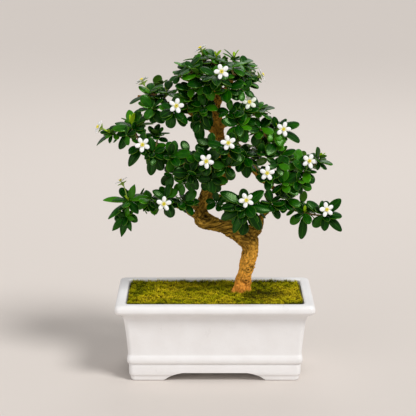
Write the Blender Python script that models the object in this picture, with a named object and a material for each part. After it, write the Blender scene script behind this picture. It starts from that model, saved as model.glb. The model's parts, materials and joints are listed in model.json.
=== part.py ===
"""A flowering fukien tea bonsai in a white glazed pot, for Blender 4.5.

Metres, +Z up, the pot's front towards -Y. The finished part is shifted so that its origin lies
on the surface it stands on, under the middle of the whole tree and pot.

The places of branches, shoots and flowers were read by eye off a photograph 416 pixels square,
taken from in front and a little above. Such a place is written (across, down, behind): pixels
across and down in that photograph, and millimetres behind (+) or in front (-) of the pot's middle.
"""

import math
import random
from typing import NamedTuple

import bmesh
import bpy
from mathutils import Matrix, Vector, noise
from mathutils.bvhtree import BVHTree

MM = 0.001

# The view that the places were read in
VIEW_POINT = Vector((-5.5, -1181.6, 415.4)) * MM
VIEW_DIP = math.radians(13.3)
VIEW_REACH = 1500.0
VIEW_MIDDLE = 208.0

# Pot
POT_LENGTH = 160.0 * MM
POT_DEPTH = 88.0 * MM
POT_CORNER = 4.0 * MM
CORNER_STEPS = 2
WALL_CORNER = 5.0 * MM
# Height above the table and set-back from the rim's outermost line, from the foot up to the rim
POT_OUTSIDE_MM = (
    (0.0, 12.6), (0.8, 11.9), (4.4, 11.6), (5.0, 10.6), (13.4, 10.4), (14.2, 10.9), (15.2, 9.4),
    (18.2, 8.9), (21.4, 9.6), (22.2, 10.0), (53.0, 7.0), (56.0, 5.2), (58.8, 1.0), (60.5, 0.0),
    (63.6, 0.1), (65.4, 1.2), (66.0, 3.0),
)
# From the rim's inner edge down to the floor
POT_INSIDE_MM = ((66.0, 7.6), (64.8, 9.0), (11.0, 13.8))
# Height above the table and half width of the arches between the feet
FRONT_ARCH_MM = ((-1.0, 43.0), (0.0, 42.0), (3.4, 37.0), (5.8, 32.0), (7.0, 26.0))
SIDE_ARCH_MM = ((-1.0, 17.6), (0.0, 17.0), (3.4, 14.0), (5.8, 11.0), (7.0, 7.0))
DRAIN_RADIUS = 5.0 * MM
DRAIN_PLACE = 20.0 * MM
DRAIN_DEPTH = 20.0 * MM
DRAIN_SIDES = 12

# Clearance between pieces that touch
GAP = 0.35 * MM

# Faces closer to one plane than this are merged after a union
SAME_PLANE = math.radians(2.0)

# Soil and moss
SOIL_TOP = 56.0 * MM
MOSS_TOP = 63.2 * MM
MOSS_BUMP = 1.3 * MM
MOSS_EDGE_DROP = 1.6 * MM
MOUND_RISE = 1.4 * MM
MOUND_REACH = 20.0 * MM
MOSS_EDGE_WIDTH = 4.0 * MM
MOSS_CELLS_LONG = 13
MOSS_CELLS_DEEP = 7
# Lumps to a metre
MOSS_BROAD_LUMPS = 60.0
MOSS_FINE_LUMPS = 170.0

# Leaves
LEAF_LENGTH = 14.6 * MM
LEAF_WIDTH = 0.57
LEAF_THICKNESS = 0.7 * MM
LEAF_STEP = 137.5
LEAFY_LENGTH = 3.6 * MM
LEAF_SPARE = 0.45 * MM
# Share of the length, half width as a share of the full width, rise as a share of the length;
# no half width is a single point
SHOWN_LEAF = ((0.46, 0.46, 0.050), (0.82, 0.42, 0.000), (1.00, 0.00, -0.060))
FILLING_LEAF = ((0.56, 0.48, 0.050), (0.95, 0.24, -0.020))
BLADE_FROM = 0.24
# Degrees: the angle between the lowest leaf and its shoot, how much less it is for the last leaf,
# how much of that an upright shoot lacks, and the spans of the draws
LEAF_SPREAD = 82.0
LEAF_CLOSING = 40.0
UPRIGHT_OPENING = 20.0
SPREAD_DRAW = 8.0
TURN_DRAW = 9.0
ROLL_DRAW = 14.0
# Length of a shoot's first leaf and loss towards its last, as shares of LEAF_LENGTH
FIRST_LEAF = 1.06
LAST_LEAF_LOSS = 0.24
# What a leaf tries to be clear of its neighbours: sizes, then leans, then swings in degrees
LEAF_SIZES = (1.0, 0.84)
LEAF_LEANS = (0, -8, 8, -16, 16, -26, 26)
LEAF_SWINGS = (0, 7, -7, 15, -15, 27, -27)

# Twigs and branches; a branch no thicker than this where it starts has four sides
THIN_BRANCH = 3.1
TWIG_RADIUS = 0.85 * MM
TWIG_TIP_RADIUS = 0.6 * MM
SHORT_TWIG = 18.0 * MM
# How far beyond its joint with the wood a spray's twig forks
FORK_PLACE = 2.4 * MM
STUB_RADIUS = 1.1 * MM
STUB_SHARE = 0.4
STUB_LEAST = 5.0 * MM
STUB_MOST_SHARE = 0.75
BARK_BUMP = 0.5 * MM
BARK_LUMPS = 190.0

# Flowers
PETALS = 5
FLOWER_RADIUS = 5.9 * MM
PETAL_THICKNESS = 0.7 * MM
FLOWER_DEPTH = 0.47 * MM
CENTRE_RADIUS = 1.3 * MM
CENTRE_HEIGHT = 1.7 * MM
CENTRE_TAPER = 0.55
CALYX_LENGTH = 2.8 * MM
CALYX_RADIUS = 1.5 * MM
PEDICEL_RADIUS = 0.42 * MM


class Shoot(NamedTuple):
    """A twig end with its tuft of leaves; tips are where leaves seen in the photograph end."""

    at: tuple
    points: tuple
    leaves: int
    turn: float = 0.0
    size: float = 1.0
    parent: int = -1
    tips: tuple = ()


class Spray(NamedTuple):
    """A twig and its side twigs, grown from one place on the wood.

    Back is added to how far behind every place of the spray is.
    """

    name: str
    back: float
    root: tuple
    shoots: tuple


class Flower(NamedTuple):
    """A flower, the way it faces, and the shoot that its stalk comes from."""

    name: str
    at: tuple
    faces: tuple
    spray: str
    shoot: int


# The trunk and branches: places as above, with the wood's radius in millimetres as a fourth number
TRUNK = (
    (238, 316, 4, 3.5), (239, 304, 4, 5.4), (240.5, 292, 3, 6.9), (242.5, 282, 2, 6.3),
    (245.3, 272, 0, 5.8), (248.2, 260, -2, 6.0), (250.0, 249, -2, 6.6), (248, 239.5, -2, 8.3),
    (240, 233.5, -3, 7.8), (232, 229.7, -4, 6.8), (222, 225.5, -5, 5.3), (212, 223.5, -6, 5.9),
    (203.3, 219.3, -6, 7.2), (201.5, 210, -5, 5.0), (203.5, 201, -3, 4.5), (209, 191, -1, 4.9),
    (216, 183, 1, 5.2), (222.5, 174, 3, 5.6), (224.5, 163, 4, 5.0), (222.5, 150, 5, 4.6),
    (218.5, 135, 4, 4.6), (217.5, 124, 4, 4.3), (215, 111, 3, 4.4), (213.5, 100, 2, 4.8),
)
BRANCHES = (
    # cut stubs and burls
    ((222.5, 172, 3, 5.0), (224.5, 179, 1, 3.6), (224, 185, 0, 1.2)),
    ((243, 236, -3, 6.0), (254, 231, -3, 5.6), (258, 224, -4, 4.0)),
    # root crown under the moss
    ((242, 282, 2, 4.0), (235, 290.5, 0, 2.8), (230, 297, -1, 1.5)),
    ((242, 282, 2, 4.0), (248, 291, 3, 2.8), (254, 297, 3, 1.5)),
    ((243, 281, 3, 4.0), (243, 288, 11, 2.8), (241, 294, 17, 1.5)),
    # lower left
    ((202, 219, -6, 3.4), (192, 214, -7, 2.4), (182, 207.5, -9, 2.0), (170, 204.5, -9, 1.6),
     (157, 204, -6, 1.3), (146, 203, -2, 1.1)),
    ((203, 212, -4, 3.0), (192, 206, 12, 1.9), (176, 204, 26, 1.2)),
    # lower right
    ((252, 234, -3, 4.6), (258, 226, -4, 3.6), (262, 216, -6, 2.5), (271, 209, -6, 1.9),
     (284, 207.5, -3, 1.5), (294, 210, 1, 1.2)),
    ((205, 198, -2, 3.4), (216, 196, 14, 2.1), (232, 198, 30, 1.3)),
    # middle right
    ((224, 154, 4, 3.4), (238, 154, 0, 3.0), (249, 163, -4, 3.0), (259, 175, -6, 2.7),
     (268, 184, -6, 2.2), (278, 191, -5, 1.4)),
    ((267, 182, -6, 2.0), (280, 180.5, -5, 1.6), (293, 178, -3, 1.3), (302, 175, -1, 1.2)),
    ((224, 158, 5, 3.0), (234, 154, 18, 1.9), (246, 154, 32, 1.2)),
    # middle left
    ((222, 171, 2, 3.2), (208, 167, -5, 2.1), (193, 165, -10, 1.7), (177, 157, -12, 1.4),
     (165, 152, -12, 1.1)),
    ((222, 163, 6, 3.0), (207, 162, 18, 1.8), (192, 162, 30, 1.2)),
    # towards the front
    ((222, 155, 2, 3.0), (222, 153, -8, 1.9), (221, 154, -20, 1.3)),
    # upper right
    ((218, 127, 3, 3.0), (231, 122, 0, 2.1), (244, 125, -5, 1.7), (257, 135, -4, 1.4),
     (268, 142, -1, 1.1)),
    # upper left
    ((217, 133, 4, 3.2), (205, 124.5, 1, 2.5), (192, 114, -3, 2.0), (178, 106.5, -4, 1.7),
     (162, 102, 2, 1.5), (149, 98, 6, 1.4), (138, 96.3, 8, 1.3)),
    ((155, 101.5, 4, 1.5), (147, 112, -3, 1.2), (140, 123, -7, 1.1)),
    # crown
    ((213, 104, 2, 4.0), (204, 94, 1, 2.9), (194, 86, 1, 2.0), (188, 79, 2, 1.3)),
    ((214, 104, 2, 4.2), (223, 94, 2, 2.9), (231, 82, 3, 1.9), (236, 72, 3, 1.3)),
    ((213.5, 104, 2, 3.6), (212.5, 86, 2, 2.3), (208, 72, 3, 1.6), (205, 65, 4, 1.2)),
)

SPRAYS = (
    Spray("lower_left_tip", 14, (147, 203, -16), (
        Shoot((130, 202, -21), (-0.3, -0.75, 0.55), 1, 75, 1.0, -1, (
            (103.5, 196, -22), (114, 205, -27), (107, 218, -26), (133, 184, -22), (145, 188, -24),
            (138, 213, -34))),
        Shoot((127, 214, -20), (-0.3, -0.55, -0.75), 1, 20, 0.85, 0, (
            (111.5, 231, -18), (121, 237, -22), (129, 232, -25), (134, 219, -28))),
        Shoot((150, 202, -26), (0.05, -0.8, 0.55), 1, 100, 1.0, -1, (
            (158, 192, -26), (155, 215, -33), (143, 211, -32), (162, 199, -33))),
        Shoot((140, 203, -8), (-0.5, 0.6, 0.5), 4, 40, 0.9, -1),
    )),
    Spray("lower_left_mid", 4, (174, 205, -14), (
        Shoot((167, 200, -27), (-0.1, -0.8, 0.55), 1, 95, 1.0, -1, (
            (171.5, 217.5, -33), (161, 186, -24), (177, 189, -28))),
        Shoot((183, 203, -24), (0.4, -0.8, 0.35), 1, 10, 1.0, -1, (
            (199, 201, -28), (194, 214, -28), (191, 190, -24))),
    )),
    Spray("lower_left_back", 0, (178, 204, 25), (
        Shoot((168, 201, 34), (-0.2, 0.7, 0.4), 5, 30, 0.9),
        Shoot((154, 203, 24), (-0.5, 0.6, 0.3), 4, 80, 0.85),
    )),
    Spray("mid_left_tip", 8, (141, 121, -15), (
        Shoot((135, 128, -20), (-0.4, -0.65, 0.65), 1, 110, 1.0, -1, (
            (116, 119.5, -19), (112, 127.5, -24), (137, 109, -20), (118, 148, -28), (146, 110, -22))),
        Shoot((114, 134, -18), (-0.85, -0.4, 0.35), 1, 100, 0.8, 0, (
            (95, 143, -17), (109, 143, -22), (104, 131.5, -18))),
        Shoot((143, 146, -27), (-0.15, -0.9, 0.35), 1, 20, 1.0, -1, (
            (128, 166, -31), (128, 152, -33), (152, 157, -33))),
        Shoot((136, 127, -1), (-0.4, 0.7, 0.5), 4, 0, 0.9),
    )),
    Spray("mid_left_lower", 0, (167, 153, -12), (
        Shoot((154, 154, -23), (-0.1, -0.85, 0.45), 1, 60, 1.0, -1, (
            (148, 175, -27), (162, 170, -29), (145, 158, -31))),
        Shoot((171, 157, -27), (0.05, -0.85, 0.4), 2, 250, 1.0, -1, (
            (189, 151, -31), (175, 140.5, -26), (170, 172, -32))),
        Shoot((157, 137, -14), (-0.1, -0.4, 0.85), 2, 20, 0.85, 0, (
            (149, 126, -14), (162, 127, -16))),
        Shoot((157, 156, 2), (-0.3, 0.8, 0.3), 4, 60, 0.9),
    )),
    Spray("mid_left_inner", -2, (194, 165, -7), (
        Shoot((188, 156, -23), (0.0, -0.75, 0.65), 4, 80, 1.0, -1, ((195, 151, -28),)),
        Shoot((190, 172, -25), (0.0, -0.85, -0.3), 4, 240, 1.0, -1, ((192, 192, -27),)),
        Shoot((174, 173, -16), (-0.35, -0.75, -0.4), 1, 200, 0.95, 1, (
            (162, 185, -14), (170, 190, -22))),
    )),
    Spray("upper_left_tip", 16, (152, 99, -10), (
        Shoot((151, 95, -15), (-0.25, -0.4, 0.85), 1, 160, 1.0, -1, (
            (128.5, 100.5, -16), (145, 107, -24), (160, 84, -14), (146, 87, -14))),
        Shoot((166, 96, -19), (0.15, -0.5, 0.85), 2, 40, 1.0, -1, (
            (176, 88, -18), (162, 85, -20))),
        Shoot((153, 109, -26), (-0.2, -0.85, 0.3), 2, 200, 0.95, 0, (
            (147, 122, -31), (157, 127, -32))),
        Shoot((158, 91, 0), (0.0, 0.7, 0.5), 4, 0, 0.9),
    )),
    Spray("upper_left_mid", 2, (180, 107, -6), (
        Shoot((174, 111, -24), (-0.05, -0.9, 0.35), 2, 20, 1.0, -1, (
            (169, 128, -27), (179, 129.5, -25), (188, 123, -29))),
        Shoot((190, 103, -19), (0.15, -0.6, 0.75), 1, 70, 1.0, -1, (
            (183, 94, -20), (176, 91, -16), (201, 97, -22))),
        Shoot((200, 119, -17), (-0.1, -0.85, -0.2), 2, 200, 0.95, 1, (
            (190.5, 129, -14), (199, 142, -18))),
        Shoot((204, 108, -19), (0.1, -0.85, 0.4), 3, 60, 1.0, 1, ((211, 126.5, -23),)),
        Shoot((186, 104, 20), (-0.2, 0.7, 0.5), 5, 30, 0.95, 1),
    )),
    Spray("crown_left", 6, (189, 80, -4), (
        Shoot((188, 72, -9), (-0.35, -0.3, 0.9), 2, 300, 1.0, -1, (
            (172.5, 71, -9), (174, 79, -10))),
        Shoot((198, 75, -22), (-0.1, -0.6, 0.8), 3, 80, 1.0, -1, ((186, 79, -24),)),
        Shoot((192, 90, -20), (-0.3, -0.8, 0.4), 1, 100, 1.0, -1, (
            (175.5, 89, -18), (187, 98, -22), (204, 91, -25))),
    )),
    Spray("crown_top", 4, (206, 67, 0), (
        Shoot((203, 60, -4), (-0.1, -0.15, 1.0), 1, 10, 0.8, -1, (
            (183, 60, -6), (212, 53, -6), (195, 54, 0))),
        Shoot((196, 66, -12), (-0.4, -0.35, 0.85), 2, 300, 0.95, 0, ((177, 66, -10),)),
        Shoot((215, 62, -13), (0.2, -0.35, 0.9), 2, 250, 0.95, 0, (
            (224, 56, -12), (209, 56, -16))),
        Shoot((196, 72, 20), (-0.35, 0.6, 0.6), 5, 90, 0.95, 0),
        Shoot((222, 74, 22), (0.35, 0.6, 0.6), 5, 60, 0.95, 2),
    )),
    Spray("crown_front", -2, (212.5, 88, 2), (
        Shoot((215, 78, -26), (0.0, -0.75, 0.65), 2, 100, 1.0, -1, (
            (199, 76, -27), (214, 89, -35), (233, 83, -30))),
        Shoot((206, 86, -20), (-0.2, -0.85, 0.3), 2, 30, 1.0, -1, ((213, 100, -25),)),
        Shoot((227, 90, -18), (0.3, -0.8, 0.35), 1, 120, 1.0, -1, (
            (240, 99, -21), (223, 101, -24))),
    )),
    Spray("crown_right", 8, (236, 73, -5), (
        Shoot((233, 63, -7), (0.25, -0.25, 0.95), 1, 120, 0.9, -1, (
            (257.5, 62, -9), (232, 56, -4), (250, 68, -14))),
        Shoot((243, 74, -16), (0.5, -0.5, 0.65), 2, 200, 1.0, -1, (
            (258, 77, -18), (233, 79, -24))),
        Shoot((245, 84, -16), (0.45, -0.65, 0.4), 2, 150, 0.95, -1, (
            (259, 87, -18), (248, 95, -20))),
        Shoot((246, 74, 10), (0.4, 0.6, 0.5), 4, 0, 0.9, 0),
    )),
    Spray("upper_right_mid", 0, (245, 126, -5), (
        Shoot((244, 113, -18), (-0.05, -0.7, 0.7), 1, 190, 1.0, -1, (
            (230, 109, -22), (258, 106, -20), (243, 119, -28))),
        Shoot((257, 112, -12), (0.45, -0.4, 0.8), 1, 100, 1.0, 0, (
            (274, 105, -12), (272, 119, -16), (271, 111.5, -4))),
        Shoot((238, 126, -23), (-0.1, -0.85, 0.4), 2, 100, 1.0, -1, (
            (247, 142, -28), (226, 134, -26), (222, 118, -24))),
        Shoot((244, 118, 16), (0.1, 0.7, 0.5), 5, 30, 0.95),
    )),
    Spray("upper_right_tip", 8, (266, 141, -9), (
        Shoot((276, 130, -18), (0.35, -0.75, 0.55), 1, 80, 1.0, -1, (
            (298, 121.5, -22), (300.5, 139.5, -24), (274, 116.5, -20), (289, 144, -26))),
        Shoot((260, 130, -23), (0.05, -0.8, 0.55), 3, 280, 1.0, -1, ((254, 145, -29),)),
        Shoot((274, 143, -21), (0.2, -0.85, 0.3), 2, 100, 0.95, 1, ((284, 150, -26),)),
        Shoot((280, 157, -20), (0.1, -0.75, 0.55), 3, 100, 1.0, 2, (
            (294, 155, -22), (268, 152, -26))),
        Shoot((296, 163, -14), (0.3, -0.6, 0.6), 1, 320, 1.0, 3, (
            (293, 149.5, -16), (288, 168, -24), (302, 172, -20))),
        Shoot((272, 136, 10), (0.3, 0.7, 0.4), 5, 0, 0.95),
    )),
    Spray("middle", -4, (221, 154, -16), (
        Shoot((229, 149, -29), (0.05, -0.9, 0.35), 4, 170),
        Shoot((208, 160, -29), (-0.1, -0.9, 0.3), 4, 120),
        Shoot((226, 166, -27), (0.1, -0.9, 0.1), 4, 250, 1.0, -1, ((233, 180, -26),)),
        Shoot((212, 177, -22), (-0.05, -0.85, -0.35), 4, 230, 0.95, 1),
        Shoot((212, 147, -22), (-0.3, -0.75, 0.55), 1, 250, 1.0, -1, (
            (203.5, 138, -22), (197, 151, -22))),
    )),
    Spray("mid_right_inner", -4, (247, 162, 1), (
        Shoot((245, 158, -15), (-0.05, -0.85, 0.4), 1, 250, 1.0, -1, (
            (234, 148, -20), (247, 178, -21), (237, 171, -24))),
        Shoot((260, 155, -13), (0.2, -0.65, 0.7), 3, 60, 1.0, -1, ((262, 143, -18),)),
        Shoot((268, 177, -18), (0.0, -0.9, 0.25), 2, 100, 1.0, 0, (
            (268, 190, -26), (256, 177, -22))),
    )),
    Spray("mid_right_tip", 10, (300, 175.6, -11), (
        Shoot((317, 162, -14), (0.5, -0.5, 0.65), 0, 70, 0.85, -1, (
            (318, 147, -16), (333, 163.5, -12), (327.5, 169, -18), (318, 170, -20), (325, 153, -22))),
        Shoot((304, 172, -18), (0.3, -0.8, 0.4), 2, 200, 1.0, -1, (
            (314, 183, -22), (290, 170, -24))),
        Shoot((297, 181, -22), (0.3, -0.8, 0.2), 2, 180, 1.0, 1, (
            (302, 194, -24), (312, 189, -20))),
        Shoot((283, 184, -26), (0.1, -0.85, 0.35), 3, 100, 1.0, 2, (
            (298, 193, -34), (272, 178, -30))),
        Shoot((301, 165, 6), (0.1, 0.8, 0.3), 4, 0, 0.9),
    )),
    Spray("lower_right_front", -4, (261, 219, -2), (
        Shoot((246, 206, -22), (-0.1, -0.9, 0.3), 1, 155, 1.1, -1, (
            (222, 190, -24), (222, 204, -28), (221, 218, -28), (233, 233, -28), (242, 224, -34),
            (262, 229, -28), (270, 209, -28), (243, 188.5, -24), (262, 189, -24))),
        Shoot((270, 204, -15), (0.25, -0.8, 0.5), 3, 60, 1.0, -1, ((280, 217.5, -22),)),
    )),
    Spray("lower_right_tip", 14, (293.5, 209.8, -13), (
        Shoot((303, 213, -16), (0.2, -0.8, 0.3), 1, 100, 1.0, -1, (
            (290, 223.5, -18), (302, 239.5, -20), (301, 201, -16))),
        Shoot((323, 215, -20), (0.3, -0.8, 0.4), 1, 50, 1.0, 0, (
            (309, 200, -22), (340, 199, -24), (342, 216, -24), (342, 231, -22), (325, 231, -26),
            (313, 227, -24))),
        Shoot((286, 200, -26), (0.1, -0.8, 0.5), 3, 60, 1.0, -1, ((291, 210, -35),)),
        Shoot((301, 206, 3), (0.2, 0.8, 0.2), 4, 0, 0.9),
    )),
    Spray("back_middle", 0, (244.5, 154, 30.5), (
        Shoot((258, 150, 40), (0.4, 0.6, 0.5), 5, 20),
        Shoot((238, 143, 42), (-0.2, 0.6, 0.6), 5, 120),
        Shoot((252, 166, 34), (0.2, 0.8, 0.0), 4, 60),
    )),
    Spray("back_left", 0, (194, 162, 28.5), (
        Shoot((182, 163, 40), (-0.3, 0.8, 0.3), 5, 50),
        Shoot((198, 170, 38), (0.1, 0.8, -0.1), 4, 150),
    )),
    Spray("back_low", 0, (230, 197.8, 28), (
        Shoot((246, 206, 36), (0.2, 0.85, 0.0), 5, 20),
        Shoot((232, 205, 40), (-0.2, 0.85, -0.1), 4, 100, 0.9),
    )),
)

FLOWERS = (
    Flower("crown", (221.6, 71.5, -36), (0.05, -1.0, 0.15), "crown_front", 0),
    Flower("crown_tip", (200.5, 48.5, -4), (-0.6, 0.2, 0.9), "crown_top", 0),
    Flower("crown_right", (262.0, 75.0, -15), (0.85, 0.1, 0.4), "crown_right", 1),
    Flower("upper_left", (176.3, 105.8, -34), (0.05, -1.0, 0.15), "upper_left_mid", 0),
    Flower("upper_left_tip", (142.0, 80.5, -17), (-0.45, 0.3, 0.85), "upper_left_tip", 0),
    Flower("mid_left", (142.5, 144.7, -37), (0.0, -1.0, 0.2), "mid_left_tip", 2),
    Flower("mid_left_tip", (98.5, 127.0, -20), (-0.9, -0.2, 0.45), "mid_left_tip", 1),
    Flower("middle", (228.3, 142.8, -39), (0.0, -1.0, 0.15), "middle", 0),
    Flower("middle_left", (206.2, 161.2, -39), (0.0, -1.0, 0.15), "middle", 1),
    Flower("upper_right", (249.5, 102.0, -20), (0.0, -0.95, 0.4), "upper_right_mid", 0),
    Flower("upper_right_tip", (283.5, 129.2, -27), (0.15, -1.0, 0.15), "upper_right_tip", 0),
    Flower("mid_right", (267.2, 173.1, -29), (0.0, -1.0, 0.15), "mid_right_inner", 2),
    Flower("mid_right_tip", (309.4, 161.1, -25), (0.1, -1.0, 0.2), "mid_right_tip", 1),
    Flower("lower_right", (246.4, 200.2, -33), (0.0, -1.0, 0.2), "lower_right_front", 0),
    Flower("lower_right_tip", (326.8, 209.6, -30), (0.2, -1.0, 0.2), "lower_right_tip", 1),
    Flower("lower_left", (163.9, 203.8, -37), (0.0, -1.0, 0.1), "lower_left_mid", 0),
    Flower("lower_left_tip", (121.0, 181.0, -22), (-0.5, 0.2, 0.9), "lower_left_tip", 0),
)

# Colour, roughness
GLAZE = ((0.86, 0.85, 0.82), 0.25)
SOIL_BROWN = ((0.07, 0.045, 0.03), 0.95)
MOSS_GREEN = ((0.20, 0.22, 0.03), 0.95)
BARK = ((0.36, 0.22, 0.08), 0.85)
LEAF_GREEN = ((0.02, 0.13, 0.015), 0.3)
PETAL_WHITE = ((0.92, 0.92, 0.90), 0.5)
POLLEN_YELLOW = ((0.85, 0.65, 0.08), 0.6)


def seen(place):
    """The point in space at a place read off the photograph."""
    across, down, behind = place
    right = (across - VIEW_MIDDLE) / VIEW_REACH
    rise = (VIEW_MIDDLE - down) / VIEW_REACH
    ray = Vector((
        right,
        math.cos(VIEW_DIP) + rise * math.sin(VIEW_DIP),
        rise * math.cos(VIEW_DIP) - math.sin(VIEW_DIP),
    ))
    return VIEW_POINT + ray * ((behind * MM - VIEW_POINT.y) / ray.y)


def seen_in(spray, place):
    """The point in space at a place of a spray."""
    across, down, behind = place
    return seen((across, down, behind + spray.back))


def make_collection(name):
    """A new collection in the scene."""
    collection = bpy.data.collections.new(name)
    bpy.context.scene.collection.children.link(collection)
    return collection


def make_material(name, finish):
    """A Principled material from a colour and a roughness."""
    colour, roughness = finish
    material = bpy.data.materials.new(name)
    material.use_nodes = True
    shader = material.node_tree.nodes["Principled BSDF"]
    shader.inputs["Base Color"].default_value = (*colour, 1.0)
    shader.inputs["Roughness"].default_value = roughness
    return material


def add_mesh(name, mesh, collection):
    """An object for a mesh."""
    item = bpy.data.objects.new(name, mesh)
    collection.objects.link(item)
    return item


def mesh_from(work, name):
    """A mesh from a bmesh, with its faces pointing out."""
    bmesh.ops.recalc_face_normals(work, faces=work.faces)
    mesh = bpy.data.meshes.new(name)
    work.to_mesh(mesh)
    work.free()
    return mesh


def evaluated_mesh(item):
    """The mesh of an object as its modifiers leave it."""
    bpy.context.view_layer.update()
    graph = bpy.context.evaluated_depsgraph_get()
    return bpy.data.meshes.new_from_object(item.evaluated_get(graph))


def tube(name, points, radii, collection, resolution=1):
    """A closed tube through points, with a radius at each, as a mesh object."""
    curve = bpy.data.curves.new(name, "CURVE")
    curve.dimensions = "3D"
    curve.bevel_depth = 1.0
    curve.bevel_resolution = resolution
    curve.use_fill_caps = True
    spline = curve.splines.new("POLY")
    spline.points.add(len(points) - 1)
    for knot, point, radius in zip(spline.points, points, radii):
        knot.co = (*point, 1.0)
        knot.radius = radius
    guide = add_mesh(name + "_curve", curve, collection)
    mesh = evaluated_mesh(guide)
    bpy.data.objects.remove(guide)
    work = bmesh.new()
    work.from_mesh(mesh)
    bmesh.ops.remove_doubles(work, verts=work.verts, dist=1e-6)
    bpy.data.meshes.remove(mesh)
    return add_mesh(name, mesh_from(work, name), collection)


def bend_between(start, leaving, end, arriving, steps):
    """Points on a curve that leaves start along one direction and arrives at end along another."""
    reach = (end - start).length / 3
    first, last = start + leaving * reach, end - arriving * reach
    points = []
    for step in range(steps + 1):
        t = step / steps
        s = 1 - t
        points.append(start * s ** 3 + first * 3 * s * s * t + last * 3 * s * t * t + end * t ** 3)
    return points


def fuse(name, pieces, collection):
    """One body from overlapping pieces, which are used up."""
    base, others = pieces[0], pieces[1:]
    joined = bpy.data.collections.new(name + "_pieces")
    for piece in others:
        joined.objects.link(piece)
    union = base.modifiers.new("Join", "BOOLEAN")
    union.operation = "UNION"
    union.operand_type = "COLLECTION"
    union.collection = joined
    union.solver = "EXACT"
    mesh = evaluated_mesh(base)
    for piece in pieces:
        bpy.data.objects.remove(piece)
    bpy.data.collections.remove(joined)
    work = bmesh.new()
    work.from_mesh(mesh)
    bmesh.ops.dissolve_degenerate(work, dist=1e-6, edges=work.edges)
    bmesh.ops.dissolve_limit(work, angle_limit=SAME_PLANE, verts=work.verts, edges=work.edges)
    drop_scraps(work)
    bpy.data.meshes.remove(mesh)
    return add_mesh(name, mesh_from(work, name), collection)


def drop_scraps(work):
    """Keep only the largest body of a bmesh."""
    left = set(work.verts)
    bodies = []
    while left:
        front = [left.pop()]
        body = set(front)
        while front:
            for edge in front.pop().link_edges:
                for vert in edge.verts:
                    if vert in left:
                        left.remove(vert)
                        body.add(vert)
                        front.append(vert)
        bodies.append(body)
    bodies.sort(key=len)
    scraps = [vert for body in bodies[:-1] for vert in body]
    bmesh.ops.delete(work, geom=scraps, context="VERTS")


def cut(item, cutter, name):
    """Take a cutter away from an object; the cutter stays as a hidden guide."""
    cutter.hide_render = True
    cutter.display_type = "WIRE"
    step = item.modifiers.new(name, "BOOLEAN")
    step.operation = "DIFFERENCE"
    step.object = cutter
    step.solver = "EXACT"


def rounded_ring(work, half_long, half_deep, corner, height):
    """Vertices of a rectangle with round corners, at one height."""
    ring = []
    for quarter in range(4):
        sign_x = (1, -1, -1, 1)[quarter]
        sign_y = (1, 1, -1, -1)[quarter]
        for step in range(CORNER_STEPS + 1):
            angle = math.radians(90 * (quarter + step / CORNER_STEPS))
            ring.append(work.verts.new((
                sign_x * (half_long - corner) + corner * math.cos(angle),
                sign_y * (half_deep - corner) + corner * math.sin(angle),
                height,
            )))
    return ring


def stacked_rings(name, levels, collection):
    """A closed body through rounded rectangles of the pot's shape, from (height, set-back, corner)."""
    work = bmesh.new()
    rings = [
        rounded_ring(work, POT_LENGTH / 2 - inset, POT_DEPTH / 2 - inset, corner, height)
        for height, inset, corner in levels
    ]
    for low, high in zip(rings, rings[1:]):
        for i in range(len(low)):
            j = (i + 1) % len(low)
            work.faces.new((low[i], low[j], high[j], high[i]))
    work.faces.new(rings[0])
    work.faces.new(rings[-1])
    return add_mesh(name, mesh_from(work, name), collection)


def inside_inset(height):
    """Set-back of the pot's inner wall at a height."""
    (top, top_inset), (floor, floor_inset) = POT_INSIDE_MM[1:]
    share = (top - height / MM) / (top - floor)
    return (top_inset + (floor_inset - top_inset) * share) * MM


def arch_cutter(name, profile, length, turned, collection):
    """A channel through the foot, from heights and half widths."""
    work = bmesh.new()
    outline = [(half, height) for height, half in profile]
    outline += [(-half, height) for height, half in reversed(profile)]
    ring = [work.verts.new((x * MM, -length / 2, z * MM)) for x, z in outline]
    end_face = work.faces.new(ring)
    pulled = bmesh.ops.extrude_face_region(work, geom=[end_face])["geom"]
    far = [item for item in pulled if isinstance(item, bmesh.types.BMVert)]
    bmesh.ops.translate(work, verts=far, vec=(0.0, length, 0.0))
    cutter = add_mesh(name, mesh_from(work, name), collection)
    if turned:
        cutter.rotation_euler.z = math.radians(90)
    return cutter


def build_pot(parts, cutters):
    """The glazed pot: foot, band, cove and rim outside, a plain trough inside, four feet."""
    outside = [(h * MM, inset * MM, POT_CORNER) for h, inset in POT_OUTSIDE_MM]
    inside = [(h * MM, inset * MM, WALL_CORNER) for h, inset in POT_INSIDE_MM]
    pot = stacked_rings("pot", outside + inside, parts)
    front = arch_cutter("front_arch", FRONT_ARCH_MM, 2 * POT_DEPTH, False, cutters)
    side = arch_cutter("side_arch", SIDE_ARCH_MM, 2 * POT_LENGTH, True, cutters)
    cut(pot, front, "Front arch")
    cut(pot, side, "Side arch")
    for side_name, place in (("left", -DRAIN_PLACE), ("right", DRAIN_PLACE)):
        work = bmesh.new()
        bmesh.ops.create_cone(work, cap_ends=True, segments=DRAIN_SIDES, radius1=DRAIN_RADIUS,
                              radius2=DRAIN_RADIUS, depth=DRAIN_DEPTH)
        drain = add_mesh(side_name + "_drain", mesh_from(work, "drain"), cutters)
        drain.location = (place, 0.0, POT_INSIDE_MM[-1][0] * MM)
        cut(pot, drain, "Drain " + side_name)
    pot.data.materials.append(make_material("Glaze", GLAZE))
    return pot


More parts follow.
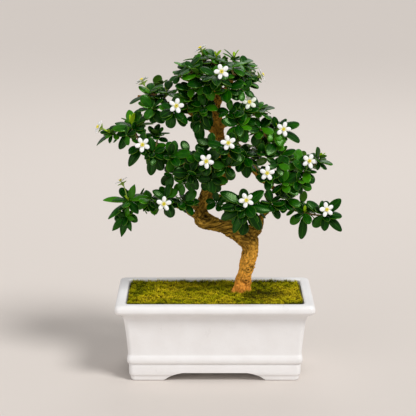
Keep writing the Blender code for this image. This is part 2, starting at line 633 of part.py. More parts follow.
def crown_cutters(collection):
    """Plain plugs a little wider than the trunk's foot and roots, for the holes they stand in."""
    routes = [TRUNK[:6], *BRANCHES[2:5]]
    plugs = []
    for number, route in enumerate(routes):
        points = [seen(place[:3]) for place in route]
        radii = [place[3] * MM + 2 * GAP for place in route]
        points[-1] += (points[-1] - points[-2]).normalized() * 2 * GAP
        points[0] += (points[0] - points[1]).normalized() * 2 * GAP
        plugs.append(tube(f"plug_{number}", points, radii, collection, 3))
    return fuse("crown_plug", plugs, collection)


def build_soil(parts, plug):
    """The soil under the moss, with the hole that the trunk's foot stands in."""
    floor = POT_INSIDE_MM[2][0] * MM
    bottom = floor + GAP
    soil = stacked_rings("soil", [
        (bottom, inside_inset(bottom) + GAP, WALL_CORNER),
        (SOIL_TOP, inside_inset(SOIL_TOP) + GAP, WALL_CORNER),
    ], parts)
    cut(soil, plug, "Trunk hole")
    soil.data.materials.append(make_material("Soil", SOIL_BROWN))
    return soil


def moss_height(x, y, edge):
    """Height of the moss at a place; edge is 0 at the pot's wall and 1 well inside."""
    broad = noise.noise(Vector((x * MOSS_BROAD_LUMPS, y * MOSS_BROAD_LUMPS, 3.1)))
    fine = noise.noise(Vector((x * MOSS_FINE_LUMPS, y * MOSS_FINE_LUMPS, 8.7)))
    foot = seen(TRUNK[2][:3])
    away = math.hypot(x - foot.x, y - foot.y) / MOUND_REACH
    mound = MOUND_RISE * math.exp(-away * away)
    return MOSS_TOP + (broad + fine / 2) * MOSS_BUMP + mound - MOSS_EDGE_DROP * (1 - edge)


def build_moss(parts, plug):
    """The moss mat: a plate with a bumpy top that fits the trough."""
    low = SOIL_TOP + GAP
    inset = inside_inset(low) + GAP
    half_long = POT_LENGTH / 2 - inset
    half_deep = POT_DEPTH / 2 - inset
    work = bmesh.new()
    bmesh.ops.create_grid(work, x_segments=MOSS_CELLS_LONG, y_segments=MOSS_CELLS_DEEP, size=0.5)
    rim = [vert for vert in work.verts if vert.is_boundary]
    for vert in work.verts:
        x, y = vert.co.x * 2 * half_long, vert.co.y * 2 * half_deep
        corner_x = abs(x) - (half_long - WALL_CORNER)
        corner_y = abs(y) - (half_deep - WALL_CORNER)
        if corner_x > 0 and corner_y > 0:
            shrink = min(1.0, WALL_CORNER / math.hypot(corner_x, corner_y))
            x = math.copysign(half_long - WALL_CORNER + corner_x * shrink, x)
            y = math.copysign(half_deep - WALL_CORNER + corner_y * shrink, y)
        edge = min(1.0, min(half_long - abs(x), half_deep - abs(y)) / MOSS_EDGE_WIDTH)
        vert.co = (x, y, moss_height(x, y, max(0.0, edge)))
    skirt = bmesh.ops.extrude_edge_only(
        work, edges=[edge for edge in work.edges if edge.is_boundary])["geom"]
    lower = [item for item in skirt if isinstance(item, bmesh.types.BMVert)]
    for vert in lower:
        vert.co.z = low
    bmesh.ops.contextual_create(work, geom=[
        edge for edge in work.edges if edge.is_boundary])
    moss = add_mesh("moss", mesh_from(work, "moss"), parts)
    cut(moss, plug, "Trunk hole")
    moss.data.materials.append(make_material("Moss", MOSS_GREEN))
    return moss


def roughen(item, amount, scale):
    """Push a piece's surface in and out by a smooth noise."""
    for vert in item.data.vertices:
        lump = noise.noise(vert.co * scale)
        vert.co += vert.normal * lump * amount


def wood_piece(name, route, resolution, collection):
    """A piece of wood along a route of places with radii."""
    points = [seen(place[:3]) for place in route]
    return tube(name, points, [place[3] * MM for place in route], collection, resolution)


def spray_joint(spray):
    """Where a spray's wood stub ends, and the direction it leaves in."""
    root, hub = seen_in(spray, spray.root), seen_in(spray, spray.shoots[0].at)
    way = (hub - root).normalized()
    length = max(STUB_LEAST, (hub - root).length * STUB_SHARE)
    return root + way * min(length, (hub - root).length * STUB_MOST_SHARE), way


def build_trunk(parts, work_area):
    """The trunk, its branches and the stubs that the sprays grow from, as one body."""
    pieces = [wood_piece("stem", TRUNK, 2, work_area)]
    roughen(pieces[0], BARK_BUMP, BARK_LUMPS)
    for number, route in enumerate(BRANCHES):
        sides = 1 if route[0][3] > THIN_BRANCH else 0
        pieces.append(wood_piece(f"branch_{number}", route, sides, work_area))
    for spray in SPRAYS:
        joint, _ = spray_joint(spray)
        points = [seen_in(spray, spray.root), joint]
        radii = [STUB_RADIUS, TWIG_RADIUS]
        pieces.append(tube("stub_" + spray.name, points, radii, work_area, 0))
    trunk = fuse("trunk", pieces, parts)
    trunk.data.materials.append(make_material("Bark", BARK))
    return trunk


def flower_frame(flower):
    """The place of a flower, with its Z axis along the way it faces."""
    spray = next(spray for spray in SPRAYS if spray.name == flower.spray)
    facing = Vector(flower.faces).normalized()
    turn = facing.to_track_quat("Z", "Y").to_matrix().to_4x4()
    spin = Matrix.Rotation(random.Random(flower.name).uniform(0, math.tau), 4, "Z")
    return Matrix.Translation(seen_in(spray, flower.at)) @ turn @ spin


def corolla_mesh():
    """Five rounded petals joined at the middle, a little cupped."""
    work = bmesh.new()
    # Angle from the petal's middle as a share of its sector, distance as a share of the radius, rise
    outline = ((-0.5, 0.34, 0.0), (-0.31, 0.80, 0.10), (0.0, 1.04, 0.05), (0.31, 0.80, 0.10))
    layers = []
    for level in (0.0, -PETAL_THICKNESS):
        middle = work.verts.new((0.0, 0.0, level - FLOWER_DEPTH))
        ring = []
        for petal in range(PETALS):
            for turn, reach, rise in outline:
                angle = math.tau * (petal + turn) / PETALS
                ring.append(work.verts.new((
                    FLOWER_RADIUS * reach * math.cos(angle),
                    FLOWER_RADIUS * reach * math.sin(angle),
                    level + FLOWER_RADIUS * rise,
                )))
        for i in range(len(ring)):
            work.faces.new((middle, ring[i], ring[(i + 1) % len(ring)]))
        layers.append(ring)
    top, bottom = layers
    for i in range(len(top)):
        j = (i + 1) % len(top)
        work.faces.new((top[i], top[j], bottom[j], bottom[i]))
    return mesh_from(work, "corolla")


def centre_mesh():
    """The yellow middle: a low knob of stamens round the pistil."""
    work = bmesh.new()
    bmesh.ops.create_cone(work, cap_ends=True, segments=5, radius1=CENTRE_RADIUS,
                          radius2=CENTRE_RADIUS * CENTRE_TAPER, depth=CENTRE_HEIGHT)
    bmesh.ops.translate(work, verts=work.verts, vec=(0.0, 0.0, CENTRE_HEIGHT / 2 + GAP))
    return mesh_from(work, "flower_centre")


def build_flowers(parts):
    """Every flower's corolla and centre, as copies of two meshes."""
    petals, middle = corolla_mesh(), centre_mesh()
    petals.materials.append(make_material("Petal", PETAL_WHITE))
    middle.materials.append(make_material("Stamens", POLLEN_YELLOW))
    corollas = []
    for flower in FLOWERS:
        frame = flower_frame(flower)
        corolla = add_mesh("corolla_" + flower.name, petals, parts)
        centre = add_mesh("centre_" + flower.name, middle, parts)
        corolla.matrix_world = frame
        centre.matrix_world = frame
        corollas.append(corolla)
    return corollas


class Clearances:
    """What stands where, so that leaves can be turned clear of it."""

    def __init__(self):
        self.things = []

    def add(self, owner, vertices, faces, blade=None):
        """Remember a thing; a leaf's blade is what its own spray's leaves must miss."""
        middle = sum(vertices, Vector()) / len(vertices)
        reach = max((vertex - middle).length for vertex in vertices)
        tree = BVHTree.FromPolygons(vertices, faces)
        self.things.append((owner, middle, reach, tree, blade))

    def clear(self, owner, whole, blade):
        """Whether a leaf misses every other spray, and its blade its own spray's blades."""
        middle = sum(whole[0], Vector()) / len(whole[0])
        reach = max((vertex - middle).length for vertex in whole[0])
        whole_tree = BVHTree.FromPolygons(*whole)
        blade_tree = BVHTree.FromPolygons(*blade)
        for other, place, size, tree, other_blade in self.things:
            if (place - middle).length > size + reach:
                continue
            if other != owner:
                if whole_tree.overlap(tree):
                    return False
            elif other_blade is not None and blade_tree.overlap(other_blade):
                return False
        return True


def leaf_solid(frame, length, width, thickness, stations, base):
    """Vertices and faces of a leaf: its base point, then a point on each edge at every station."""
    left, right = [], []
    for share, half, rise in stations:
        left.append(Vector((share * length, half * width, rise * length)))
        right.append(Vector((share * length, -half * width, rise * length)))
    if stations[-1][1] == 0.0:
        left.pop()
    outline = right + left[::-1]
    lift = Vector((0.0, 0.0, thickness / 2))
    count = len(outline)
    vertices = [frame @ Vector((base[0] * length, 0.0, base[1] * length))]
    vertices += [frame @ (point + lift) for point in outline]
    vertices += [frame @ (point - lift) for point in outline]
    upper = [(0, 1, count)]
    low, high = 1, count
    while high - low > 1:
        upper.append((low, low + 1, high))
        low += 1
        if high - low > 1:
            upper.append((low, high - 1, high))
            high -= 1
    faces = list(upper)
    faces += [tuple(i + count if i else 0 for i in reversed(face)) for face in upper]
    for a in range(1, count):
        b = a + 1
        faces.append((a, count + a, b))
        faces.append((b, count + a, count + b))
    faces.append((0, count + 1, 1))
    faces.append((0, count, 2 * count))
    return vertices, faces


def leaf_choices(spray, shoot, number):
    """For each leaf of a shoot, the outlines, places, lengths and widths it may take, best first."""
    draw = random.Random(f"{spray.name} {number}")
    axis = Vector(shoot.points).normalized()
    hub = seen_in(spray, shoot.at)
    sideways = Vector((1.0, 0.0, 0.0))
    right = (sideways - axis * axis.dot(sideways)).normalized()
    up = axis.cross(right)
    count = len(shoot.tips) + shoot.leaves
    for index in range(count):
        rank = index / max(1, count - 1)
        start = hub + axis * LEAFY_LENGTH * rank
        roll = math.radians(draw.uniform(-ROLL_DRAW, ROLL_DRAW))
        stations = SHOWN_LEAF if index < len(shoot.tips) else FILLING_LEAF
        if index < len(shoot.tips):
            reach = seen_in(spray, shoot.tips[index]) - start
            length = reach.length
            turn = math.atan2(reach.dot(up), reach.dot(right))
            spread = math.acos(reach.dot(axis) / length)
        else:
            turn = shoot.turn + index * LEAF_STEP + draw.uniform(-TURN_DRAW, TURN_DRAW)
            turn = math.radians(turn)
            closing = (LEAF_CLOSING - UPRIGHT_OPENING * max(0.0, axis.z)) * rank
            spread = LEAF_SPREAD - closing + draw.uniform(-SPREAD_DRAW, SPREAD_DRAW)
            spread = math.radians(spread)
            length = LEAF_LENGTH * shoot.size * (FIRST_LEAF - LAST_LEAF_LOSS * rank)
            length *= draw.uniform(0.86, 1.14)
        width = min(length, LEAF_LENGTH) * LEAF_WIDTH * draw.uniform(0.9, 1.08)
        yield [
            (stations, leaf_frame(start, axis, right, up, turn + math.radians(swing),
                                  spread + math.radians(lean), roll), length * scale, width * scale)
            for scale in LEAF_SIZES
            for lean in LEAF_LEANS
            for swing in LEAF_SWINGS
        ]


def leaf_frame(start, axis, right, up, turn, spread, roll):
    """A leaf's place: X along the leaf, Z out of its upper side, which faces along the shoot."""
    outwards = right * math.cos(turn) + up * math.sin(turn)
    along = axis * math.cos(spread) + outwards * math.sin(spread)
    face = axis + Vector((0.0, -0.1, 0.35))
    face = (face - along * along.dot(face)).normalized()
    across = face.cross(along)
    turned = Matrix.Rotation(roll, 4, "X")
    frame = Matrix((along, across, face)).transposed().to_4x4()
    return Matrix.Translation(start) @ frame @ turned


def leaf_pieces(stations, frame, length, width):
    """A leaf's own solid, and the wider solids that are kept clear of its neighbours."""
    solid = leaf_solid(frame, length, width, LEAF_THICKNESS, stations, (0.0, 0.0))
    wide, thick = width + 2 * LEAF_SPARE, LEAF_THICKNESS + 2 * LEAF_SPARE
    whole = leaf_solid(frame, length + LEAF_SPARE, wide, thick, stations, (0.0, 0.0))
    blade = leaf_solid(frame, length, width, LEAF_THICKNESS, stations, (BLADE_FROM, 0.03))
    return solid, whole, blade


def mesh_parts(item):
    """World vertices and faces of a mesh object."""
    mesh = item.data
    return ([item.matrix_world @ vert.co for vert in mesh.vertices],
            [tuple(face.vertices) for face in mesh.polygons])


def solid_object(name, solid, collection):
    """An object from a list of vertices and one of faces."""
    mesh = bpy.data.meshes.new(name)
    mesh.from_pydata(solid[0], [], solid[1])
    return add_mesh(name, mesh, collection)


def twig_pieces(spray, collection):
    """The twigs of a spray, from its joint with the wood out to each shoot's tip."""
    joint, way = spray_joint(spray)
    pieces = []
    for number, shoot in enumerate(spray.shoots):
        hub = seen_in(spray, shoot.at)
        axis = Vector(shoot.points).normalized()
        if shoot.parent < 0:
            start = joint + way * (GAP if number == 0 else FORK_PLACE)
            leaving = way
        else:
            mother = spray.shoots[shoot.parent]
            start = seen_in(spray, mother.at)
            leaving = (hub - start).normalized()
        points = bend_between(start, leaving, hub, axis, 1 if (hub - start).length < SHORT_TWIG else 2)
        radii = [TWIG_RADIUS] * len(points) + [TWIG_TIP_RADIUS]
        points.append(hub + axis * (LEAFY_LENGTH + TWIG_TIP_RADIUS))
        pieces.append(tube(f"twig_{number}", points, radii, collection, 0))
    return pieces


def stalk_pieces(spray, collection):
    """The stalks of a spray's flowers, each widening to a calyx."""
    pieces = []
    for flower in FLOWERS:
        if flower.spray != spray.name:
            continue
        shoot = spray.shoots[flower.shoot]
        axis = Vector(shoot.points).normalized()
        start = seen_in(spray, shoot.at) + axis * LEAFY_LENGTH
        frame = flower_frame(flower)
        facing = frame.to_3x3() @ Vector((0.0, 0.0, 1.0))
        top = frame.translation - facing * (PETAL_THICKNESS + FLOWER_DEPTH + GAP)
        foot = top - facing * CALYX_LENGTH
        points = [*bend_between(start, axis, foot, facing, 2), top]
        radii = [PEDICEL_RADIUS] * 3 + [CALYX_RADIUS]
        pieces.append(tube("stalk_" + flower.name, points, radii, collection, 0))
    return pieces


def build_sprays(parts, work_area, trunk, corollas):
    """Every spray: twigs, flower stalks and leaves, each leaf turned clear of what is near it."""
    clearances = Clearances()
    clearances.add("trunk", *mesh_parts(trunk))
    for corolla in corollas:
        clearances.add(corolla.name, *mesh_parts(corolla))
    stems = {}
    for spray in SPRAYS:
        stems[spray.name] = twig_pieces(spray, work_area) + stalk_pieces(spray, work_area)
        for piece in stems[spray.name]:
            clearances.add(spray.name, *mesh_parts(piece))
    green = make_material("Leaf", LEAF_GREEN)
    dropped = 0
    for spray in SPRAYS:
        pieces = stems[spray.name]
        for number, shoot in enumerate(spray.shoots):
            for index, choices in enumerate(leaf_choices(spray, shoot, number)):
                for choice in choices:
                    solid, whole, blade = leaf_pieces(*choice)
                    if clearances.clear(spray.name, whole, blade):
                        clearances.add(spray.name, *solid, BVHTree.FromPolygons(*blade))
                        pieces.append(solid_object(f"leaf_{number}_{index}", solid, work_area))
                        break
                else:
                    dropped += 1
        item = fuse("spray_" + spray.name, pieces, parts)
        item.data.materials.append(green)
    print("leaves left out for want of room:", dropped)


def centre_on_origin(parts, cutters):
    """Parent everything to one empty, moved so that the part's middle is over the origin."""
    bpy.context.view_layer.update()
    graph = bpy.context.evaluated_depsgraph_get()
    corners = []
    for item in parts.objects:
        final = item.evaluated_get(graph)
        corners += [item.matrix_world @ Vector(corner) for corner in final.bound_box]
    middle = [(min(c[i] for c in corners) + max(c[i] for c in corners)) / 2 for i in range(2)]
    anchor = bpy.data.objects.new("bonsai_origin", None)
    parts.objects.link(anchor)
    for item in [*parts.objects, *cutters.objects]:
        if item is not anchor:
            item.parent = anchor
    anchor.location = (-middle[0], -middle[1], 0.0)


def main():
    for item in list(bpy.data.objects):
        bpy.data.objects.remove(item, do_unlink=True)
    parts = make_collection("Fukien tea bonsai")
    cutters = make_collection("Cutters")
    work_area = make_collection("Work area")
    build_pot(parts, cutters)
    plug = crown_cutters(cutters)
    build_soil(parts, plug)
    build_moss(parts, plug)
    trunk = build_trunk(parts, work_area)
    corollas = build_flowers(parts)
    bpy.context.view_layer.update()
    build_sprays(parts, work_area, trunk, corollas)
    for item in cutters.objects:
        item.hide_render = True
    centre_on_origin(parts, cutters)


main()
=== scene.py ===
"""The looks of a flowering fukien tea bonsai in its white glazed pot, built round the solids.

Metres, +Z up, the pot's front towards -Y. A seen place is written (across, down, behind): pixels
across and down in the photograph, which is 416 pixels square, and millimetres behind (+) or in
front (-) of the pot's middle. Every branch, leaf and flower grows where its solid is, and the
smaller leaves between them fill what room is left.
"""

import functools
import itertools
import json
import logging
import math
from dataclasses import dataclass, field
from enum import Enum
from random import Random
from typing import Iterator, NamedTuple, Sequence

import bmesh
import bpy
import numpy as np
from mathutils import Euler, Matrix, Vector, noise
from mathutils.bvhtree import BVHTree

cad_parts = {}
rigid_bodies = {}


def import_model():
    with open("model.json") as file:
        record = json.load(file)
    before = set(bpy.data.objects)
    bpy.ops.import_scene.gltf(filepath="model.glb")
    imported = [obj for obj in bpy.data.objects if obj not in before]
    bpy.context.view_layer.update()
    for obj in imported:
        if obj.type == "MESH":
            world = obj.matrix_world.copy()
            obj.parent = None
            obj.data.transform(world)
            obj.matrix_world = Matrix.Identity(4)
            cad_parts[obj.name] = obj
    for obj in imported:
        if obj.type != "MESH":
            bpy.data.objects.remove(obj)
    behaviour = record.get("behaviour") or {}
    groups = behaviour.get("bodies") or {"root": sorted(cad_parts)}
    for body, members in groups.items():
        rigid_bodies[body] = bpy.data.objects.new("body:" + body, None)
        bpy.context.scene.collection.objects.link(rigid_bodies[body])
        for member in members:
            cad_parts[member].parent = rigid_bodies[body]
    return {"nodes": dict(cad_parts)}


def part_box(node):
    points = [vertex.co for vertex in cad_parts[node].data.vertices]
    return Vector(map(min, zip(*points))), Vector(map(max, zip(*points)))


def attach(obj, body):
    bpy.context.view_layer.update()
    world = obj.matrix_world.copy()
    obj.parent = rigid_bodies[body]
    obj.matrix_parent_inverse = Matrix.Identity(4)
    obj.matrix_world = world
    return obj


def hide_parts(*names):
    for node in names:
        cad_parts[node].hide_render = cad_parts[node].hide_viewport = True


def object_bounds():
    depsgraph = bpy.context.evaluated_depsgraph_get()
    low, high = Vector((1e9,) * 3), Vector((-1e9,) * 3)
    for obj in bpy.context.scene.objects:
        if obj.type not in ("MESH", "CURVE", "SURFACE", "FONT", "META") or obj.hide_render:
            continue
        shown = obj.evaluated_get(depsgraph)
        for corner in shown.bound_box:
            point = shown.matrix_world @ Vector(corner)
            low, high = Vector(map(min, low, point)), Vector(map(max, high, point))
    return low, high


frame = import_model()
solid_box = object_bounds()
log = logging.getLogger("bonsai")

MM = 0.001
BODY = "root"
Seen = tuple[float, float, float]
Colour = tuple[float, float, float]
Way = tuple[float, float, float]
Spot = tuple[float, float, float]
Face = tuple[int, ...]
Profile = tuple[tuple[float, float], ...]
Line = list[Vector]
Limb = tuple[Line, list[float], int]
Item = bpy.types.Object
Material = bpy.types.Material
Socket = bpy.types.NodeSocket


class Surface(Enum):
    """The record's material slots."""

    GLAZE = "glaze"
    SOIL = "soil"
    MOSS = "moss"
    BARK = "bark"
    LEAF = "leaf"
    PETAL = "petal"
    STAMENS = "stamens"


def placed(name: str, data: bpy.types.ID) -> Item:
    """A new object in the scene.

    Args:
        name: its name.
        data: its mesh, light or lens.

    Returns:
        The object.
    """
    item = bpy.data.objects.new(name, data)
    bpy.context.scene.collection.objects.link(item)
    return item


@dataclass(frozen=True)
class View:
    """The view of the photograph: millimetres from the pot's middle, and its reach in pixels."""

    eye_mm: Spot = (-5.5, -1181.6, 415.4)
    dip: float = math.radians(13.3)
    reach: float = 1500.0
    width: float = 416.0
    sensor: float = 36.0

    @functools.cache
    def pot_middle(self) -> Vector:
        """The point under the pot's middle, on what it stands on."""
        low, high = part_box("pot")
        return Vector(((low.x + high.x) / 2, (low.y + high.y) / 2, 0.0))

    def point(self, place: Seen) -> Vector:
        """The point in space at a seen place.

        Args:
            place: pixels across and down, and millimetres behind the pot's middle.

        Returns:
            The point, in the frame of the solids.
        """
        across, down, behind = place
        right = (across - self.width / 2) / self.reach
        rise = (self.width / 2 - down) / self.reach
        ray = Vector((
            right,
            math.cos(self.dip) + rise * math.sin(self.dip),
            rise * math.cos(self.dip) - math.sin(self.dip),
        ))
        eye = Vector(self.eye_mm) * MM
        return self.pot_middle() + eye + ray * ((behind * MM - eye.y) / ray.y)

    def above(self, x: float, y: float, height: float) -> Vector:
        """The point so many millimetres right of, behind and above the pot's middle."""
        return self.pot_middle() + Vector((x, y, height)) * MM

    def seen(self, point: Vector) -> tuple[float, float]:
        """Where a point is seen.

        Args:
            point: the point in space.

        Returns:
            Pixels across and down.
        """
        away = point - self.pot_middle() - Vector(self.eye_mm) * MM
        depth = away.y * math.cos(self.dip) - away.z * math.sin(self.dip)
        rise = away.y * math.sin(self.dip) + away.z * math.cos(self.dip)
        scale = self.reach / depth
        return self.width / 2 + away.x * scale, self.width / 2 - rise * scale

    def add_camera(self) -> Item:
        """Make the scene's camera at the photograph's place.

        Returns:
            The camera.
        """
        lens = bpy.data.cameras.new("camera")
        lens.sensor_width = self.sensor
        lens.lens = self.sensor * self.reach / self.width
        lens.clip_start = 0.01
        lens.clip_end = 20.0
        camera = placed("camera", lens)
        camera.location = self.pot_middle() + Vector(self.eye_mm) * MM
        camera.rotation_euler = Euler((math.pi / 2 - self.dip, 0.0, 0.0))
        bpy.context.scene.camera = camera
        return camera


VIEW = View()


class Recipe:
    """A material written one node to a line."""

    def __init__(self, name: str) -> None:
        """Start a material with its Principled shader.

        Args:
            name: the material's name.
        """
        self.material = bpy.data.materials.new(name)
        self.material.use_nodes = True
        self.tree = self.material.node_tree
        self.shader = self.tree.nodes["Principled BSDF"]
        self.place = self.node("ShaderNodeTexCoord").outputs["Object"]

    def node(self, kind: str, inputs: dict[str | int, object] | None = None,
             **settings: object) -> bpy.types.Node:
        """Add a node.

        Args:
            kind: the node's type name.
            inputs: a value or another node's output for each named or numbered input.
            **settings: the node's own properties.

        Returns:
            The node.
        """
        made = self.tree.nodes.new(kind)
        for name, value in settings.items():
            setattr(made, name, value)
        for key, value in (inputs or {}).items():
            self.feed(made.inputs[key], value)
        return made

    def feed(self, socket: Socket, value: object) -> None:
        """Link an output to a socket, or set the socket's own value.

        Args:
            socket: the input that is fed.
            value: a value, or another node's output.
        """
        if isinstance(value, Socket):
            self.tree.links.new(value, socket)
        elif isinstance(value, tuple) and len(value) == 3 and socket.type == "RGBA":
            socket.default_value = (*value, 1.0)
        else:
            socket.default_value = value

    def set(self, **values: object) -> None:
        """Feed the shader's sockets, each named with _ for a space."""
        for name, value in values.items():
            self.feed(self.shader.inputs[name.replace("_", " ")], value)

    def value(self, name: str) -> Socket:
        """A value that the mesh holds at each point."""
        return self.node("ShaderNodeAttribute", attribute_name=name).outputs["Fac"]

    def clouds(self, scale: float, detail: float = 3.0,
               place: Socket | None = None) -> Socket:
        """Soft noise from 0 to 1.

        Args:
            scale: lumps to a metre.
            detail: how many finer layers it has.
            place: where it is read, or the place on the object.

        Returns:
            The noise's value.
        """
        return self.node("ShaderNodeTexNoise", {
            "Vector": place or self.place, "Scale": scale, "Detail": detail}).outputs["Fac"]

    def cells(self, scale: float, feature: str = "F1") -> Socket:
        """Distance in a pattern of cells, so many to a metre."""
        return self.node("ShaderNodeTexVoronoi", {"Vector": self.place, "Scale": scale},
                         feature=feature).outputs["Distance"]

    def steps(self, value: object, *stops: tuple[float, Colour]) -> Socket:
        """Colours along a value.

        Args:
            value: what the colours follow.
            *stops: places from 0 to 1, each with its colour.

        Returns:
            The colour.
        """
        ramp = self.node("ShaderNodeValToRGB", {"Fac": value})
        marks = ramp.color_ramp.elements
        while len(marks) < len(stops):
            marks.new(1.0)
        for mark, (place, colour) in zip(marks, stops):
            mark.position = place
            mark.color = (*colour, 1.0)
        return ramp.outputs["Color"]

    def between(self, value: object, low: float, high: float, first: float = 0.0,
                last: float = 1.0) -> Socket:
        """A value turned into another range, smoothly and with its ends held.

        Args:
            value: what is turned.
            low: where the range starts.
            high: where it ends.
            first: what low becomes.
            last: what high becomes.

        Returns:
            The new value.
        """
        return self.node("ShaderNodeMapRange", {
            "Value": value, "From Min": low, "From Max": high, "To Min": first, "To Max": last,
        }, interpolation_type="SMOOTHSTEP").outputs["Result"]

    def sum(self, operation: str, first: object, second: object) -> Socket:
        """One step of arithmetic."""
        return self.node("ShaderNodeMath", {0: first, 1: second}, operation=operation).outputs[0]

    def mix(self, share: object, first: object, second: object) -> Socket:
        """A colour between two, by a share from 0 to 1."""
        made = self.node("ShaderNodeMix", {0: share, 6: first, 7: second}, data_type="RGBA")
        return made.outputs[2]

    def bumps(self, height: Socket, depth: float, strength: float = 1.0,
              below: Socket | None = None) -> Socket:
        """A bumpy normal.

        Args:
            height: the bumps' height, from 0 to 1.
            depth: how deep they are, in metres.
            strength: how much of them shows.
            below: a normal that they stand on.

        Returns:
            The normal.
        """
        made = self.node("ShaderNodeBump", {
            "Height": height, "Distance": depth, "Strength": strength})
        if below is not None:
            self.feed(made.inputs["Normal"], below)
        return made.outputs["Normal"]


@dataclass(frozen=True)
class GlazeFinish:
    """Off-white glaze, glossy and a little uneven, thinner and warmer in soft patches."""

    thick: Colour = (0.855, 0.84, 0.835)
    thin: Colour = (0.82, 0.80, 0.79)
    speck: Colour = (0.80, 0.77, 0.74)

    def make(self) -> Material:
        """Mix the glaze.

        Returns:
            The material.
        """
        recipe = Recipe("off_white_glaze")
        pool = recipe.clouds(55.0, 4.0)
        specks = recipe.between(recipe.cells(420.0), 0.05, 0.16)
        colour = recipe.mix(recipe.between(pool, 0.3, 0.7), self.thin, self.thick)
        colour = recipe.mix(specks, self.speck, colour)
        ripple = recipe.bumps(recipe.clouds(160.0, 2.0), 0.5 * MM, 0.25)
        recipe.set(Base_Color=colour, Roughness=recipe.between(pool, 0.2, 0.8, 0.26, 0.4),
                   Normal=recipe.bumps(recipe.clouds(900.0, 2.0), 0.1 * MM, 0.3, ripple),
                   Coat_Weight=0.35, Coat_Roughness=0.12)
        return recipe.material


@dataclass(frozen=True)
class SoilFinish:
    """Damp soil with small pale grains."""

    dark: Colour = (0.035, 0.022, 0.014)
    light: Colour = (0.13, 0.085, 0.05)

    def make(self) -> Material:
        """Mix the soil.

        Returns:
            The material.
        """
        recipe = Recipe("damp_soil")
        grains = recipe.cells(420.0)
        colour = recipe.mix(recipe.between(grains, 0.1, 0.6), self.light, self.dark)
        recipe.set(Base_Color=colour, Roughness=0.95,
                   Normal=recipe.bumps(grains, 0.8 * MM, 0.8))
        return recipe.material


@dataclass(frozen=True)
class MossFinish:
    """Moss from dark olive in its depths to golden green at its tips, with brown patches of painted
    shade and a few stray brown ones.
    """

    deep: Colour = (0.020, 0.019, 0.0005)
    olive: Colour = (0.21, 0.235, 0.001)
    fresh: Colour = (0.66, 0.62, 0.003)
    golden: Colour = (1.0, 0.78, 0.018)
    # Painted shade: the brown of the shaded patches, and of a few stray brown patches
    brown: Colour = (0.060, 0.035, 0.002)

    def make(self) -> Material:
        """Mix the moss; tone runs from olive to golden, tip from the root to the tip.

        Returns:
            The material.
        """
        recipe = Recipe("olive_moss")
        tone = recipe.value("tone")
        colour = recipe.steps(tone, (0.12, self.olive), (0.45, self.fresh), (0.85, self.golden))
        # Painted shade in brown where the shade value is high
        colour = recipe.mix(recipe.value("shade"), colour, self.brown)
        colour = recipe.mix(recipe.between(recipe.value("tip"), 0.14, 0.88), self.deep, colour)
        recipe.set(Base_Color=colour, Roughness=0.9, Specular_IOR_Level=0.08)
        return recipe.material


@dataclass(frozen=True)
class BarkFinish:
    """Golden brown bark, redder at the foot, with dark cracks and paler ridges, and darker round the
    elbow: there partly more cracked bark, partly painted shade.
    """

    crack: Colour = (0.012, 0.006, 0.0003)
    brown: Colour = (0.13, 0.072, 0.004)
    golden: Colour = (0.57, 0.32, 0.042)
    tawny: Colour = (0.62, 0.31, 0.040)
    tan: Colour = (1.0, 0.46, 0.060)
    foot: Colour = (0.86, 0.31, 0.050)
    foot_height: float = 0.066
    # Heights where the bark turns darker and more cracked, partly as painted shade round the elbow, and
    # where most of that turns light again above it
    cracked_and_shaded_from: float = 0.086
    cracked_and_shaded_to: float = 0.119
    cracked_and_shaded_fades_from: float = 0.150
    cracked_and_shaded_fades_to: float = 0.172

    def make(self) -> Material:
        """Mix the bark; groove runs from the cracks' bottom to the ridges' top.

        Returns:
            The material.
        """
        recipe = Recipe("golden_bark")
        height = recipe.node("ShaderNodeSeparateXYZ", {0: recipe.place}).outputs["Z"]
        grain = recipe.node("ShaderNodeAttribute", attribute_name="grain").outputs["Vector"]
        streaks = recipe.clouds(620.0, 7.0, grain)
        patches = recipe.clouds(120.0, 3.0)
        upper = recipe.steps(streaks, (0.28, self.crack), (0.42, self.brown), (0.66, self.golden))
        lower = recipe.steps(streaks, (0.27, self.brown), (0.38, self.tawny), (0.58, self.tan))
        lower = recipe.mix(recipe.between(height, self.foot_height, self.foot_height + 0.02, 0.8, 0.0),
                           lower, self.foot)
        # rise: darker, more cracked bark, with painted shade round the elbow
        rise = recipe.between(height, self.cracked_and_shaded_from, self.cracked_and_shaded_to)
        colour = recipe.mix(rise, lower, upper)
        # Above the elbow, most of the painted shade and cracking fades again
        colour = recipe.mix(recipe.between(height, self.cracked_and_shaded_fades_from, self.cracked_and_shaded_fades_to, 0.0, 0.65), colour,
                            lower)
        patches = recipe.between(patches, 0.45, 0.7, 0.0, 0.5)
        colour = recipe.mix(recipe.sum("MULTIPLY", patches, recipe.sum("ADD", rise, 0.35)), colour,
                            self.brown)
        groove = recipe.between(recipe.value("groove"), 0.05, 0.55, 0.8, 0.0)
        groove = recipe.sum("MULTIPLY", groove, recipe.between(rise, 0.0, 1.0, 0.38, 1.0))
        colour = recipe.mix(groove, colour, self.crack)
        colour = recipe.mix(recipe.value("scar"), colour, self.crack)
        fine = recipe.clouds(1900.0, 3.0, grain)
        rough = recipe.bumps(streaks, 0.8 * MM, 1.0)
        recipe.set(Base_Color=colour, Roughness=0.85, Specular_IOR_Level=0.12,
                   Normal=recipe.bumps(fine, 0.25 * MM, 0.7, rough))
        return recipe.material


@dataclass(frozen=True)
class TwigFinish:
    """Thin twigs: brown wood that turns green towards its tip."""

    wood: Colour = (0.24, 0.115, 0.03)
    pale: Colour = (0.40, 0.23, 0.07)
    green: Colour = (0.10, 0.19, 0.02)

    def make(self) -> Material:
        """Mix the twigs' bark; young is 1 where a twig is green.

        Returns:
            The material.
        """
        recipe = Recipe("twig_bark")
        streaks = recipe.clouds(700.0, 3.0)
        colour = recipe.mix(streaks, self.wood, self.pale)
        colour = recipe.mix(recipe.value("young"), colour, self.green)
        recipe.set(Base_Color=colour, Roughness=0.7, Normal=recipe.bumps(streaks, 0.3 * MM, 0.6))
        return recipe.material


